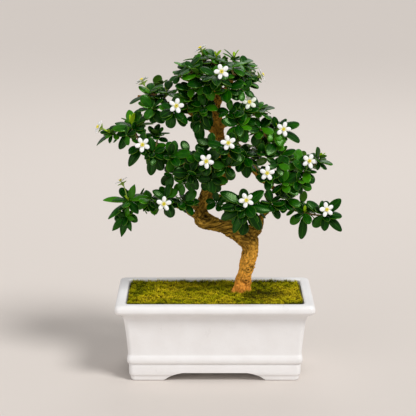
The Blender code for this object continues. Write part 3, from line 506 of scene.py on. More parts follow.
@dataclass(frozen=True)
class LeafFinish:
    """Glossy dark green above, paler and matt below, with a painted highlight along the rim and a pale
    rib; young leaves lime.
    """

    darkest: Colour = (0.0003, 0.016, 0.0001)
    middle: Colour = (0.0020, 0.046, 0.0002)
    lightest: Colour = (0.036, 0.180, 0.0012)
    # Painted highlight along the leaf's edge
    rim: Colour = (0.20, 0.42, 0.02)
    rib: Colour = (0.03, 0.19, 0.003)
    under: Colour = (0.060, 0.165, 0.012)
    lime: Colour = (0.30, 0.48, 0.008)
    gloss: tuple[float, float, float, float] = (0.58, 1.0, 0.38, 1.0)

    def make(self) -> Material:
        """Mix the leaf from its tone, its age and where on the leaf a point lies.

        Returns:
            The material.
        """
        recipe = Recipe("glossy_leaf")
        mottle = recipe.sum("MULTIPLY", recipe.clouds(260.0, 2.0), 0.35)
        # tone: each leaf's own tone, plus its spray's painted light and shade
        tone = recipe.sum("ADD", recipe.value("tone"), mottle)
        colour = recipe.steps(tone, (0.15, self.darkest), (0.6, self.middle), (1.0, self.lightest))
        side = recipe.sum("ABSOLUTE", recipe.value("across"), 0.0)
        rib = recipe.between(side, 0.02, 0.09, 0.40, 0.0)
        colour = recipe.mix(rib, colour, self.rib)
        # Painted highlight: the rim lighter towards the leaf's edge
        colour = recipe.mix(recipe.between(side, 0.91, 1.0, 0.0, 0.55), colour, self.rim)
        colour = recipe.mix(recipe.value("under"), colour, self.under)
        colour = recipe.mix(recipe.value("young"), colour, self.lime)
        veins = recipe.sum("SINE", recipe.sum("MULTIPLY", recipe.value("vein"), math.tau), 0.0)
        quilt = recipe.bumps(veins, 0.04 * MM, 0.26)
        rough = recipe.between(recipe.clouds(300.0, 2.0), 0.2, 0.8, 0.17, 0.36)
        under = recipe.between(recipe.value("under"), 0.0, 1.0, 0.0, 0.3)
        recipe.set(Base_Color=colour, Roughness=recipe.sum("ADD", rough, under), Normal=quilt,
                   Specular_IOR_Level=0.28, Specular_Tint=self.gloss)
        return recipe.material


@dataclass(frozen=True)
class CalyxFinish:
    """Pale green stalks and sepals."""

    green: Colour = (0.14, 0.27, 0.03)
    pale: Colour = (0.33, 0.44, 0.06)

    def make(self) -> Material:
        """Mix the stalks' green.

        Returns:
            The material.
        """
        recipe = Recipe("flower_stalk")
        colour = recipe.mix(recipe.clouds(500.0), self.green, self.pale)
        recipe.set(Base_Color=colour, Roughness=0.55)
        return recipe.material


@dataclass(frozen=True)
class PetalFinish:
    """Thin white petals, greenish yellow in the throat."""

    white: Colour = (0.93, 0.93, 0.92)
    vein: Colour = (0.84, 0.86, 0.84)
    throat: Colour = (0.72, 0.76, 0.30)
    pale_green: Colour = (0.66, 0.76, 0.52)

    def make(self, greenish: float = 0.0) -> Material:
        """Mix the petals.

        Args:
            greenish: how far a flower that opens late is still green.

        Returns:
            The material.
        """
        recipe = Recipe("white_petal" if greenish == 0.0 else "greenish_petal")
        white = tuple(a + (b - a) * greenish for a, b in zip(self.white, self.pale_green))
        lines = recipe.sum("SINE", recipe.sum("MULTIPLY", recipe.value("across"), 9.0), 0.0)
        colour = recipe.mix(recipe.between(lines, 0.3, 1.0, 0.0, 0.5), white, self.vein)
        near = recipe.between(recipe.value("along"), 0.02, 0.30, 1.0, 0.0)
        colour = recipe.mix(near, colour, self.throat)
        recipe.set(Base_Color=colour, Roughness=0.5, Subsurface_Weight=0.25,
                   Subsurface_Radius=(1.0, 1.0, 0.9), Subsurface_Scale=0.8 * MM,
                   Normal=recipe.bumps(lines, 0.06 * MM, 0.4))
        return recipe.material


@dataclass(frozen=True)
class StamenFinish:
    """Yellow anthers, matt with pollen, round a greenish pistil."""

    pollen: Colour = (0.98, 0.82, 0.03)
    shade: Colour = (0.88, 0.68, 0.02)
    pistil: Colour = (0.52, 0.58, 0.10)

    def make(self) -> Material:
        """Mix the yellow; young is 1 on the pistil.

        Returns:
            The material.
        """
        recipe = Recipe("yellow_stamens")
        dust = recipe.clouds(2500.0)
        colour = recipe.mix(recipe.between(dust, 0.35, 0.65), self.shade, self.pollen)
        colour = recipe.mix(recipe.value("young"), colour, self.pistil)
        recipe.set(Base_Color=colour, Roughness=0.7, Normal=recipe.bumps(dust, 0.1 * MM, 0.5))
        return recipe.material


@dataclass(frozen=True)
class FloorFinish:
    """A plain pale floor."""

    colour: Colour = (0.655, 0.60, 0.555)

    def make(self) -> Material:
        """Mix the floor's paint.

        Returns:
            The material.
        """
        recipe = Recipe("pale_floor")
        recipe.set(Base_Color=self.colour, Roughness=0.8, Specular_IOR_Level=0.15)
        return recipe.material


class Solid(NamedTuple):
    """Points, one row each, and faces that name them."""

    points: np.ndarray
    faces: list[Face]


def held(value: float) -> float:
    """A value kept between 0 and 1."""
    return min(1.0, max(0.0, value))


def hump(place: float, middle: float = 0.0, width: float = 1.0) -> float:
    """The height of a soft bump: 1 at its middle, next to nothing at twice its width."""
    return math.exp(-((place - middle) / width) ** 2)


@dataclass
class Sketch:
    """Solids and the values at their points, gathered into one mesh."""

    points: list[np.ndarray] = field(default_factory=list)
    faces: list[Face] = field(default_factory=list)
    paints: list[int] = field(default_factory=list)
    values: dict[str, list[np.ndarray]] = field(default_factory=dict)
    count: int = 0

    def add(self, solid: Solid, paint: int = 0, **values: float | np.ndarray) -> "Sketch":
        """Take in a solid.

        Args:
            solid: its points and faces.
            paint: the number of its material.
            **values: a number for the whole solid or one for each of its points, by name.

        Returns:
            The sketch.
        """
        first, size = self.count, len(solid.points)
        self.points.append(np.asarray(solid.points, float))
        self.faces += [tuple(first + i for i in face) for face in solid.faces]
        self.paints += [paint] * len(solid.faces)
        for name in values:
            self.values.setdefault(name, [np.zeros(first)])
        for name, row in self.values.items():
            row.append(np.broadcast_to(np.asarray(values.get(name, 0.0), float), (size,)))
        self.count += size
        return self

    def piece(self, name: str, materials: Sequence[Material] = (),
              outwards: bool = True) -> Item:
        """Make the gathered solids one object.

        Args:
            name: the object's name.
            materials: its materials, in the order of the paint numbers.
            outwards: whether the faces still have to be turned outwards.

        Returns:
            The object, with its faces smooth.
        """
        mesh = bpy.data.meshes.new(name)
        mesh.from_pydata(np.concatenate(self.points).tolist(), [], self.faces)
        if outwards:
            work = bmesh.new()
            work.from_mesh(mesh)
            bmesh.ops.recalc_face_normals(work, faces=work.faces)
            work.to_mesh(mesh)
            work.free()
        mesh.polygons.foreach_set("material_index", self.paints)
        mesh.polygons.foreach_set("use_smooth", [True] * len(self.faces))
        for key, rows in self.values.items():
            mesh.attributes.new(key, "FLOAT", "POINT").data.foreach_set("value", np.concatenate(rows))
        for material in materials:
            mesh.materials.append(material)
        return placed(name, mesh)


def stand_for(item: Item, surface: Surface, *nodes: str) -> Item:
    """Let a finished piece ride on the part, in place of the solids that it stands for.

    Args:
        item: the piece.
        surface: its material slot; not used.
        *nodes: the solids that are hidden.

    Returns:
        The piece.
    """
    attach(item, BODY)
    if nodes:
        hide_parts(*nodes)
    triangles = sum(len(face.vertices) - 2 for face in item.data.polygons)
    log.info("%s: %d triangles for %s", item.name, triangles, ", ".join(nodes) or "no node")
    return item


def finished(rough: Item, name: str, finish: Material) -> Item:
    """What a rough object becomes once its modifiers are applied, smooth and with its finish.

    Args:
        rough: the rough object, which is removed.
        name: the new object's name.
        finish: its material.

    Returns:
        The new object.
    """
    bpy.context.view_layer.update()
    graph = bpy.context.evaluated_depsgraph_get()
    item = placed(name, bpy.data.meshes.new_from_object(rough.evaluated_get(graph)))
    bpy.data.objects.remove(rough)
    item.data.materials.clear()
    item.data.materials.append(finish)
    item.data.polygons.foreach_set("use_smooth", [True] * len(item.data.polygons))
    return item


def sleeve(count: int, rows: int) -> list[Face]:
    """Faces round rings of points that follow each other, with both ends closed.

    Args:
        count: how many points a ring has.
        rows: how many rings there are.

    Returns:
        The faces.
    """
    faces = [(k * count + i, k * count + (i + 1) % count, (k + 1) * count + (i + 1) % count,
              (k + 1) * count + i) for k in range(rows - 1) for i in range(count)]
    return [*faces, tuple(range(count)), tuple(range((rows - 1) * count, rows * count))]


def plate(rows: int, columns: int) -> list[Face]:
    """Faces of a closed plate: a grid of points above, the same grid below, and its edge.

    Args:
        rows: how many rows each grid has.
        columns: how many columns.

    Returns:
        The faces.
    """
    size = rows * columns
    faces = []
    for a in (k * columns + i for k in range(rows - 1) for i in range(columns - 1)):
        faces.append((a, a + 1, a + columns + 1, a + columns))
        faces.append((size + a, size + a + columns, size + a + columns + 1, size + a + 1))
    edge = [*range(columns - 1), *range(columns - 1, size - 1, columns),
            *range(size - 1, size - columns, -1), *range(size - columns, 0, -columns)]
    return faces + [(a, size + a, size + b, b) for a, b in zip(edge, [*edge[1:], edge[0]])]


def smoothed(points: Sequence[Vector], radii: Sequence[float],
             steps: int) -> tuple[Line, list[float]]:
    """A rounder route through a route's points.

    Args:
        points: the route.
        radii: the radius at each point.
        steps: new points to each old stretch.

    Returns:
        The points and radii of a curve through all the old ones.
    """
    knots = [points[0] * 2 - points[1], *points, points[-1] * 2 - points[-2]]
    sizes = [radii[0], *radii, radii[-1]]
    route, thick = [], []
    for i in range(1, len(knots) - 2):
        a, b, c, d = knots[i - 1:i + 3]
        p, q, r, s = sizes[i - 1:i + 3]
        for step in range(steps):
            t = step / steps
            route.append((b * 2 + (c - a) * t + (a * 2 - b * 5 + c * 4 - d) * t ** 2
                          + (b * 3 - a - c * 3 + d) * t ** 3) / 2)
            thick.append((q * 2 + (r - p) * t + (p * 2 - q * 5 + r * 4 - s) * t ** 2
                          + (q * 3 - p - r * 3 + s) * t ** 3) / 2)
    return [*route, points[-1]], [*thick, radii[-1]]


def tube(points: Sequence[Vector], radii: Sequence[float], sides: int) -> Solid:
    """A closed tube with rounded ends.

    Args:
        points: its middle line.
        radii: the radius at each point.
        sides: how many sides it has.

    Returns:
        The tube; its points lie ring by ring, then its two end points.
    """
    ways = [(b - a).normalized() for a, b in zip(points, points[1:])]
    ways = [ways[0], *((a + b).normalized() for a, b in zip(ways, ways[1:])), ways[-1]]
    side = ways[0].orthogonal().normalized()
    rows = []
    for k, (point, way, radius) in enumerate(zip(points, ways, radii)):
        if k:
            side = ways[k - 1].rotation_difference(way) @ side
        other = way.cross(side)
        for i in range(sides):
            angle = math.tau * i / sides
            rows.append(point + (side * math.cos(angle) + other * math.sin(angle)) * radius)
    last = len(points) - 1
    rows.append(points[0] - ways[0] * radii[0] * 0.5)
    rows.append(points[-1] + ways[-1] * radii[-1] * 0.5)
    faces = []
    for i in range(sides):
        j = (i + 1) % sides
        faces += [(k * sides + i, k * sides + j, (k + 1) * sides + j, (k + 1) * sides + i)
                  for k in range(last)]
        faces.append((j, i, len(rows) - 2))
        faces.append((last * sides + i, last * sides + j, len(rows) - 1))
    return Solid(np.array(rows), faces)


def bend_between(start: Vector, leaving: Vector, end: Vector, arriving: Vector,
                 steps: int) -> Line:
    """Points on a curve between two places.

    Args:
        start: the first place.
        leaving: the direction that it leaves in.
        end: the last place.
        arriving: the direction that it arrives in.
        steps: how many stretches it has.

    Returns:
        The points, both places among them.
    """
    reach = (end - start).length / 3
    first, last = start + leaving * reach, end - arriving * reach
    points = []
    for step in range(steps + 1):
        t = step / steps
        s = 1 - t
        points.append(start * s ** 3 + first * 3 * s * s * t + last * 3 * s * t * t + end * t ** 3)
    return points


@dataclass(frozen=True)
class Shoot:
    """A twig end with its tuft of leaves; tips are where leaves seen in the photograph end.

    Parent is the number of the shoot that it grows from, and bud how many millimetres long its
    longest lime leaf is.
    """

    at: Seen
    points: Way
    leaves: int
    turn: float = 0.0
    tips: tuple[Seen, ...] = ()
    size: float = 1.0
    parent: int = -1
    bud: float = 0.0

    def axis(self) -> Vector:
        """The way it points."""
        return Vector(self.points).normalized()


@dataclass(frozen=True)
class Spray:
    """A twig and its side twigs, grown from one place on the wood.

    Light is how much lighter its leaves are painted than most: painted light on the crown and the outer
    tips, painted shade on the sprays inside and low down; slim is how slim and pointed they are.
    """

    name: str
    back: float
    root: Seen
    shoots: tuple[Shoot, ...]
    light: float = 0.0
    slim: float = 0.0

    def point(self, place: Seen) -> Vector:
        """The point in space at one of the spray's places, which all lie back by its own amount."""
        across, down, behind = place
        return VIEW.point((across, down, behind + self.back))

    def joint(self) -> tuple[Vector, Vector]:
        """Where the spray's wooden stub ends, and the direction that it leaves in.

        Returns:
            The joint and the direction.
        """
        root, hub = self.point(self.root), self.point(self.shoots[0].at)
        reach = (hub - root).length
        way = (hub - root).normalized()
        return root + way * min(max(5.0 * MM, reach * 0.4), reach * 0.75), way


@dataclass(frozen=True)
class Flower:
    """A flower, the way it faces, and the shoot that its stalk comes from."""

    name: str
    at: Seen
    faces: Way
    spray: str
    shoot: int
    greenish: float = 0.0

    def frame(self) -> Matrix:
        """The place of the flower, with its Z axis along the way it faces.

        Returns:
            The matrix from the flower's own space.
        """
        spray = next(spray for spray in SPRAYS if spray.name == self.spray)
        facing = Vector(self.faces).normalized()
        turn = facing.to_track_quat("Z", "Y").to_matrix().to_4x4()
        spin = Matrix.Rotation(Random(self.name).uniform(0, math.tau), 4, "Z")
        return Matrix.Translation(spray.point(self.at)) @ turn @ spin


TRUNK = (
    (238, 316, 4, 3.5), (239, 304, 4, 5.4), (240.5, 292, 3, 6.9), (242.5, 282, 2, 6.3),
    (245.3, 272, 0, 5.8), (248.2, 260, -2, 6.0), (250.0, 249, -2, 6.6), (248, 239.5, -2, 8.3),
    (240, 233.5, -3, 7.8), (232, 229.7, -4, 6.8), (222, 225.5, -5, 5.3), (212, 223.5, -6, 5.9),
    (203.3, 219.3, -6, 7.2), (201.5, 210, -5, 5.0), (203.5, 201, -3, 4.5), (209, 191, -1, 4.9),
    (216, 183, 1, 5.2), (222.5, 174, 3, 5.6), (224.5, 163, 4, 5.0), (222.5, 150, 5, 4.6),
    (218.5, 135, 4, 4.6), (217.5, 124, 4, 4.3), (215, 111, 3, 4.4), (213.5, 100, 2, 4.8),
)
BRANCHES = (
    # cut stubs and burls
    ((222.5, 172, 3, 5.0), (224.5, 179, 1, 3.6), (224, 185, 0, 1.2)),
    ((243, 236, -3, 6.0), (254, 231, -3, 5.6), (258, 224, -4, 4.0)),
    # root crown under the moss
    ((242, 282, 2, 4.0), (235, 290.5, 0, 2.8), (230, 297, -1, 1.5)),
    ((242, 282, 2, 4.0), (248, 291, 3, 2.8), (254, 297, 3, 1.5)),
    ((243, 281, 3, 4.0), (243, 288, 11, 2.8), (241, 294, 17, 1.5)),
    # lower left
    ((202, 219, -6, 3.4), (192, 214, -7, 2.4), (182, 207.5, -9, 2.0), (170, 204.5, -9, 1.6),
     (157, 204, -6, 1.3), (146, 203, -2, 1.1)),
    ((203, 212, -4, 3.0), (192, 206, 12, 1.9), (176, 204, 26, 1.2)),
    # lower right
    ((252, 234, -3, 4.6), (258, 226, -4, 3.6), (262, 216, -6, 2.5), (271, 209, -6, 1.9),
     (284, 207.5, -3, 1.5), (294, 210, 1, 1.2)),
    ((205, 198, -2, 3.4), (216, 196, 14, 2.1), (232, 198, 30, 1.3)),
    # middle right
    ((224, 154, 4, 3.4), (238, 154, 0, 3.0), (249, 163, -4, 3.0), (259, 175, -6, 2.7),
     (268, 184, -6, 2.2), (278, 191, -5, 1.4)),
    ((267, 182, -6, 2.0), (280, 180.5, -5, 1.6), (293, 178, -3, 1.3), (302, 175, -1, 1.2)),
    ((224, 158, 5, 3.0), (234, 154, 18, 1.9), (246, 154, 32, 1.2)),
    # middle left
    ((222, 171, 2, 3.2), (208, 167, -5, 2.1), (193, 165, -10, 1.7), (177, 157, -12, 1.4),
     (165, 152, -12, 1.1)),
    ((222, 163, 6, 3.0), (207, 162, 18, 1.8), (192, 162, 30, 1.2)),
    # towards the front
    ((222, 155, 2, 3.0), (222, 153, -8, 1.9), (221, 154, -20, 1.3)),
    # upper right
    ((218, 127, 3, 3.0), (231, 122, 0, 2.1), (244, 125, -5, 1.7), (257, 135, -4, 1.4),
     (268, 142, -1, 1.1)),
    # upper left
    ((217, 133, 4, 3.2), (205, 124.5, 1, 2.5), (192, 114, -3, 2.0), (178, 106.5, -4, 1.7),
     (162, 102, 2, 1.5), (149, 98, 6, 1.4), (138, 96.3, 8, 1.3)),
    ((155, 101.5, 4, 1.5), (147, 112, -3, 1.2), (140, 123, -7, 1.1)),
    # crown
    ((213, 104, 2, 4.0), (204, 94, 1, 2.9), (194, 86, 1, 2.0), (188, 79, 2, 1.3)),
    ((214, 104, 2, 4.2), (223, 94, 2, 2.9), (231, 82, 3, 1.9), (236, 72, 3, 1.3)),
    ((213.5, 104, 2, 3.6), (212.5, 86, 2, 2.3), (208, 72, 3, 1.6), (205, 65, 4, 1.2)),
)

SPRAYS = (
    Spray("lower_left_tip", 14, (147, 203, -16), (
        Shoot((130, 202, -21), (-0.3, -0.75, 0.55), 1, 75, ((103.5, 196, -22), (114, 205, -27),
            (107, 218, -26), (133, 184, -22), (145, 188, -24), (138, 213, -34)), bud=5.0),
        Shoot((127, 214, -20), (-0.3, -0.55, -0.75), 1, 20, ((111.5, 231, -18), (121, 237, -22),
            (129, 232, -25), (134, 219, -28)), size=0.85, parent=0),
        Shoot((150, 202, -26), (0.05, -0.8, 0.55), 1, 100, ((158, 192, -26), (155, 215, -33),
            (143, 211, -32), (162, 199, -33))),
        Shoot((140, 203, -8), (-0.5, 0.6, 0.5), 4, 40, size=0.9),
    ), light=0.12, slim=0.8),
    Spray("lower_left_mid", 4, (174, 205, -14), (
        Shoot((167, 200, -27), (-0.1, -0.8, 0.55), 1, 95, ((171.5, 217.5, -33), (161, 186, -24),
            (177, 189, -28))),
        Shoot((183, 203, -24), (0.4, -0.8, 0.35), 1, 10, ((199, 201, -28), (194, 214, -28),
            (191, 190, -24))),
    ), light=-0.1),
    Spray("lower_left_back", 0, (178, 204, 25), (
        Shoot((168, 201, 34), (-0.2, 0.7, 0.4), 5, 30, size=0.9),
        Shoot((154, 203, 24), (-0.5, 0.6, 0.3), 4, 80, size=0.85),
    )),
    Spray("mid_left_tip", 8, (141, 121, -15), (
        Shoot((135, 128, -20), (-0.4, -0.65, 0.65), 1, 110, ((116, 119.5, -19), (112, 127.5, -24),
            (137, 109, -20), (118, 148, -28), (146, 110, -22)), bud=12.5),
        Shoot((114, 134, -18), (-0.85, -0.4, 0.35), 1, 100, ((95, 143, -17), (109, 143, -22),
            (104, 131.5, -18)), size=0.8, parent=0, bud=6.0),
        Shoot((143, 146, -27), (-0.15, -0.9, 0.35), 1, 20, ((128, 166, -31), (128, 152, -33),
            (152, 157, -33))),
        Shoot((136, 127, -1), (-0.4, 0.7, 0.5), 4, size=0.9),
    ), light=0.08, slim=0.15),
    Spray("mid_left_lower", 0, (167, 153, -12), (
        Shoot((154, 154, -23), (-0.1, -0.85, 0.45), 1, 60, ((148, 175, -27), (162, 170, -29),
            (145, 158, -31))),
        Shoot((171, 157, -27), (0.05, -0.85, 0.4), 2, 250, ((189, 151, -31), (175, 140.5, -26),
            (170, 172, -32))),
        Shoot((157, 137, -14), (-0.1, -0.4, 0.85), 2, 20, ((149, 126, -14), (162, 127, -16)), size=0.85,
            parent=0),
        Shoot((157, 156, 2), (-0.3, 0.8, 0.3), 4, 60, size=0.9),
    ), light=-0.12),
    Spray("mid_left_inner", -2, (194, 165, -7), (
        Shoot((188, 156, -23), (0.0, -0.75, 0.65), 4, 80, ((195, 151, -28),)),
        Shoot((190, 172, -25), (0.0, -0.85, -0.3), 4, 240, ((192, 192, -27),)),
        Shoot((174, 173, -16), (-0.35, -0.75, -0.4), 1, 200, ((162, 185, -14), (170, 190, -22)),
            size=0.95, parent=1),
    ), light=-0.16),
    Spray("upper_left_tip", 16, (152, 99, -10), (
        Shoot((151, 95, -15), (-0.25, -0.4, 0.85), 1, 160, ((128.5, 100.5, -16), (145, 107, -24),
            (160, 84, -14), (146, 87, -14))),
        Shoot((166, 96, -19), (0.15, -0.5, 0.85), 2, 40, ((176, 88, -18), (162, 85, -20)), bud=4.5),
        Shoot((153, 109, -26), (-0.2, -0.85, 0.3), 2, 200, ((147, 122, -31), (157, 127, -32)),
            size=0.95, parent=0),
        Shoot((158, 91, 0), (0.0, 0.7, 0.5), 4, size=0.9),
    ), light=0.12),
    Spray("upper_left_mid", 2, (180, 107, -6), (
        Shoot((174, 111, -24), (-0.05, -0.9, 0.35), 2, 20, ((169, 128, -27), (179, 129.5, -25),
            (188, 123, -29))),
        Shoot((190, 103, -19), (0.15, -0.6, 0.75), 1, 70, ((183, 94, -20), (176, 91, -16),
            (201, 97, -22)), bud=5.5),
        Shoot((200, 119, -17), (-0.1, -0.85, -0.2), 2, 200, ((190.5, 129, -14), (199, 142, -18)),
            size=0.95, parent=1),
        Shoot((204, 108, -19), (0.1, -0.85, 0.4), 3, 60, ((211, 126.5, -23),), parent=1),
        Shoot((186, 104, 20), (-0.2, 0.7, 0.5), 5, 30, size=0.95, parent=1),
    )),
    Spray("crown_left", 6, (189, 80, -4), (
        Shoot((188, 72, -9), (-0.35, -0.3, 0.9), 2, 300, ((172.5, 71, -9), (174, 79, -10)), bud=5.0),
        Shoot((198, 75, -22), (-0.1, -0.6, 0.8), 3, 80, ((186, 79, -24),)),
        Shoot((192, 90, -20), (-0.3, -0.8, 0.4), 1, 100, ((175.5, 89, -18), (187, 98, -22),
            (204, 91, -25))),
    ), light=0.16),
    Spray("crown_top", 4, (206, 67, 0), (
        Shoot((203, 60, -4), (-0.1, -0.15, 1.0), 1, 10, ((183, 60, -6), (212, 53, -6), (195, 54, 0)),
            size=0.8, bud=6.5),
        Shoot((196, 66, -12), (-0.4, -0.35, 0.85), 2, 300, ((177, 66, -10),), size=0.95, parent=0),
        Shoot((215, 62, -13), (0.2, -0.35, 0.9), 2, 250, ((224, 56, -12), (209, 56, -16)), size=0.95,
            parent=0, bud=7.0),
        Shoot((196, 72, 20), (-0.35, 0.6, 0.6), 5, 90, size=0.95, parent=0),
        Shoot((222, 74, 22), (0.35, 0.6, 0.6), 5, 60, size=0.95, parent=2),
    ), light=0.22, slim=0.35),
    Spray("crown_front", -2, (212.5, 88, 2), (
        Shoot((215, 78, -26), (0.0, -0.75, 0.65), 2, 100, ((199, 76, -27), (214, 89, -35),
            (233, 83, -30))),
        Shoot((206, 86, -20), (-0.2, -0.85, 0.3), 2, 30, ((213, 100, -25),)),
        Shoot((227, 90, -18), (0.3, -0.8, 0.35), 1, 120, ((240, 99, -21), (223, 101, -24))),
    )),
    Spray("crown_right", 8, (236, 73, -5), (
        Shoot((233, 63, -7), (0.25, -0.25, 0.95), 1, 120, ((257.5, 62, -9), (232, 56, -4),
            (250, 68, -14)), size=0.9, bud=8.0),
        Shoot((243, 74, -16), (0.5, -0.5, 0.65), 2, 200, ((258, 77, -18), (233, 79, -24))),
        Shoot((245, 84, -16), (0.45, -0.65, 0.4), 2, 150, ((259, 87, -18), (248, 95, -20)), size=0.95),
        Shoot((246, 74, 10), (0.4, 0.6, 0.5), 4, size=0.9, parent=0),
    ), light=0.2),
    Spray("upper_right_mid", 0, (245, 126, -5), (
        Shoot((244, 113, -18), (-0.05, -0.7, 0.7), 1, 190, ((230, 109, -22), (258, 106, -20),
            (243, 119, -28))),
        Shoot((257, 112, -12), (0.45, -0.4, 0.8), 1, 100, ((274, 105, -12), (272, 119, -16),
            (271, 111.5, -4)), parent=0),
        Shoot((238, 126, -23), (-0.1, -0.85, 0.4), 2, 100, ((247, 142, -28), (226, 134, -26),
            (222, 118, -24))),
        Shoot((244, 118, 16), (0.1, 0.7, 0.5), 5, 30, size=0.95),
    ), light=0.12),
    Spray("upper_right_tip", 8, (266, 141, -9), (
        Shoot((276, 130, -18), (0.35, -0.75, 0.55), 1, 80, ((298, 121.5, -22), (300.5, 139.5, -24),
            (274, 116.5, -20), (289, 144, -26)), bud=5.0),
        Shoot((260, 130, -23), (0.05, -0.8, 0.55), 3, 280, ((254, 145, -29),)),
        Shoot((274, 143, -21), (0.2, -0.85, 0.3), 2, 100, ((284, 150, -26),), size=0.95, parent=1),
        Shoot((280, 157, -20), (0.1, -0.75, 0.55), 3, 100, ((294, 155, -22), (268, 152, -26)),
            parent=2),
        Shoot((296, 163, -14), (0.3, -0.6, 0.6), 1, 320, ((293, 149.5, -16), (288, 168, -24),
            (302, 172, -20)), parent=3),
        Shoot((272, 136, 10), (0.3, 0.7, 0.4), 5, size=0.95),
    ), light=0.08),
    Spray("middle", -4, (221, 154, -16), (
        Shoot((229, 149, -29), (0.05, -0.9, 0.35), 4, 170),
        Shoot((208, 160, -29), (-0.1, -0.9, 0.3), 4, 120),
        Shoot((226, 166, -27), (0.1, -0.9, 0.1), 4, 250, ((233, 180, -26),)),
        Shoot((212, 177, -22), (-0.05, -0.85, -0.35), 4, 230, size=0.95, parent=1),
        Shoot((212, 147, -22), (-0.3, -0.75, 0.55), 1, 250, ((203.5, 138, -22), (197, 151, -22))),
    ), light=-0.16),
    Spray("mid_right_inner", -4, (247, 162, 1), (
        Shoot((245, 158, -15), (-0.05, -0.85, 0.4), 1, 250, ((234, 148, -20), (247, 178, -21),
            (237, 171, -24))),
        Shoot((260, 155, -13), (0.2, -0.65, 0.7), 3, 60, ((262, 143, -18),)),
        Shoot((268, 177, -18), (0.0, -0.9, 0.25), 2, 100, ((268, 190, -26), (256, 177, -22)), parent=0),
    ), light=-0.1),
    Spray("mid_right_tip", 10, (300, 175.6, -11), (
        Shoot((317, 162, -14), (0.5, -0.5, 0.65), 0, 70, ((318, 147, -16), (333, 163.5, -12),
            (327.5, 169, -18), (318, 170, -20), (325, 153, -22)), size=0.85, bud=7.5),
        Shoot((304, 172, -18), (0.3, -0.8, 0.4), 2, 200, ((314, 183, -22), (290, 170, -24))),
        Shoot((297, 181, -22), (0.3, -0.8, 0.2), 2, 180, ((302, 194, -24), (312, 189, -20)), parent=1),
        Shoot((283, 184, -26), (0.1, -0.85, 0.35), 3, 100, ((298, 193, -34), (272, 178, -30)),
            parent=2),
        Shoot((301, 165, 6), (0.1, 0.8, 0.3), 4, size=0.9),
    ), light=0.06),
    Spray("lower_right_front", -4, (261, 219, -2), (
        Shoot((246, 206, -22), (-0.1, -0.9, 0.3), 1, 155, ((222, 190, -24), (222, 204, -28),
            (221, 218, -28), (233, 233, -28), (242, 224, -34), (262, 229, -28), (270, 209, -28),
            (243, 188.5, -24), (262, 189, -24)), size=1.1),
        Shoot((270, 204, -15), (0.25, -0.8, 0.5), 3, 60, ((280, 217.5, -22),)),
    ), light=-0.2),
    Spray("lower_right_tip", 14, (293.5, 209.8, -13), (
        Shoot((303, 213, -16), (0.2, -0.8, 0.3), 1, 100, ((290, 223.5, -18), (302, 239.5, -20),
            (301, 201, -16)), bud=6.5),
        Shoot((323, 215, -20), (0.3, -0.8, 0.4), 1, 50, ((309, 200, -22), (340, 199, -24),
            (342, 216, -24), (342, 231, -22), (325, 231, -26), (313, 227, -24)), parent=0),
        Shoot((286, 200, -26), (0.1, -0.8, 0.5), 3, 60, ((291, 210, -35),)),
        Shoot((301, 206, 3), (0.2, 0.8, 0.2), 4, size=0.9),
    )),
    Spray("back_middle", 0, (244.5, 154, 30.5), (
        Shoot((258, 150, 40), (0.4, 0.6, 0.5), 5, 20),
        Shoot((238, 143, 42), (-0.2, 0.6, 0.6), 5, 120),
        Shoot((252, 166, 34), (0.2, 0.8, 0.0), 4, 60),
    )),
    Spray("back_left", 0, (194, 162, 28.5), (
        Shoot((182, 163, 40), (-0.3, 0.8, 0.3), 5, 50),
        Shoot((198, 170, 38), (0.1, 0.8, -0.1), 4, 150),
    )),
    Spray("back_low", 0, (230, 197.8, 28), (
        Shoot((246, 206, 36), (0.2, 0.85, 0.0), 5, 20),
        Shoot((232, 205, 40), (-0.2, 0.85, -0.1), 4, 100, size=0.9),
    )),
)

FLOWERS = (
    Flower("crown", (221.6, 71.5, -36), (0.05, -1.0, 0.15), "crown_front", 0),
    Flower("crown_tip", (200.5, 48.5, -4), (-0.6, 0.2, 0.9), "crown_top", 0),
    Flower("crown_right", (262.0, 75.0, -15), (0.85, 0.1, 0.4), "crown_right", 1),
    Flower("upper_left", (176.3, 105.8, -34), (0.05, -1.0, 0.15), "upper_left_mid", 0),
    Flower("upper_left_tip", (142.0, 80.5, -17), (-0.45, 0.3, 0.85), "upper_left_tip", 0),
    Flower("mid_left", (142.5, 144.7, -37), (0.0, -1.0, 0.2), "mid_left_tip", 2),
    Flower("mid_left_tip", (98.5, 127.0, -20), (-0.9, -0.2, 0.45), "mid_left_tip", 1),
    Flower("middle", (228.3, 142.8, -39), (0.0, -1.0, 0.15), "middle", 0),
    Flower("middle_left", (206.2, 161.2, -39), (0.0, -1.0, 0.15), "middle", 1),
    Flower("upper_right", (249.5, 102.0, -20), (0.0, -0.95, 0.4), "upper_right_mid", 0, 0.6),
    Flower("upper_right_tip", (283.5, 129.2, -27), (0.15, -1.0, 0.15), "upper_right_tip", 0),
    Flower("mid_right", (267.2, 173.1, -29), (0.0, -1.0, 0.15), "mid_right_inner", 2),
    Flower("mid_right_tip", (309.4, 161.1, -25), (0.1, -1.0, 0.2), "mid_right_tip", 1),
    Flower("lower_right", (246.4, 200.2, -33), (0.0, -1.0, 0.2), "lower_right_front", 0),
    Flower("lower_right_tip", (326.8, 209.6, -30), (0.2, -1.0, 0.2), "lower_right_tip", 1),
    Flower("lower_left", (163.9, 203.8, -37), (0.0, -1.0, 0.1), "lower_left_mid", 0),
    Flower("lower_left_tip", (121.0, 181.0, -22), (-0.5, 0.2, 0.9), "lower_left_tip", 0),
)


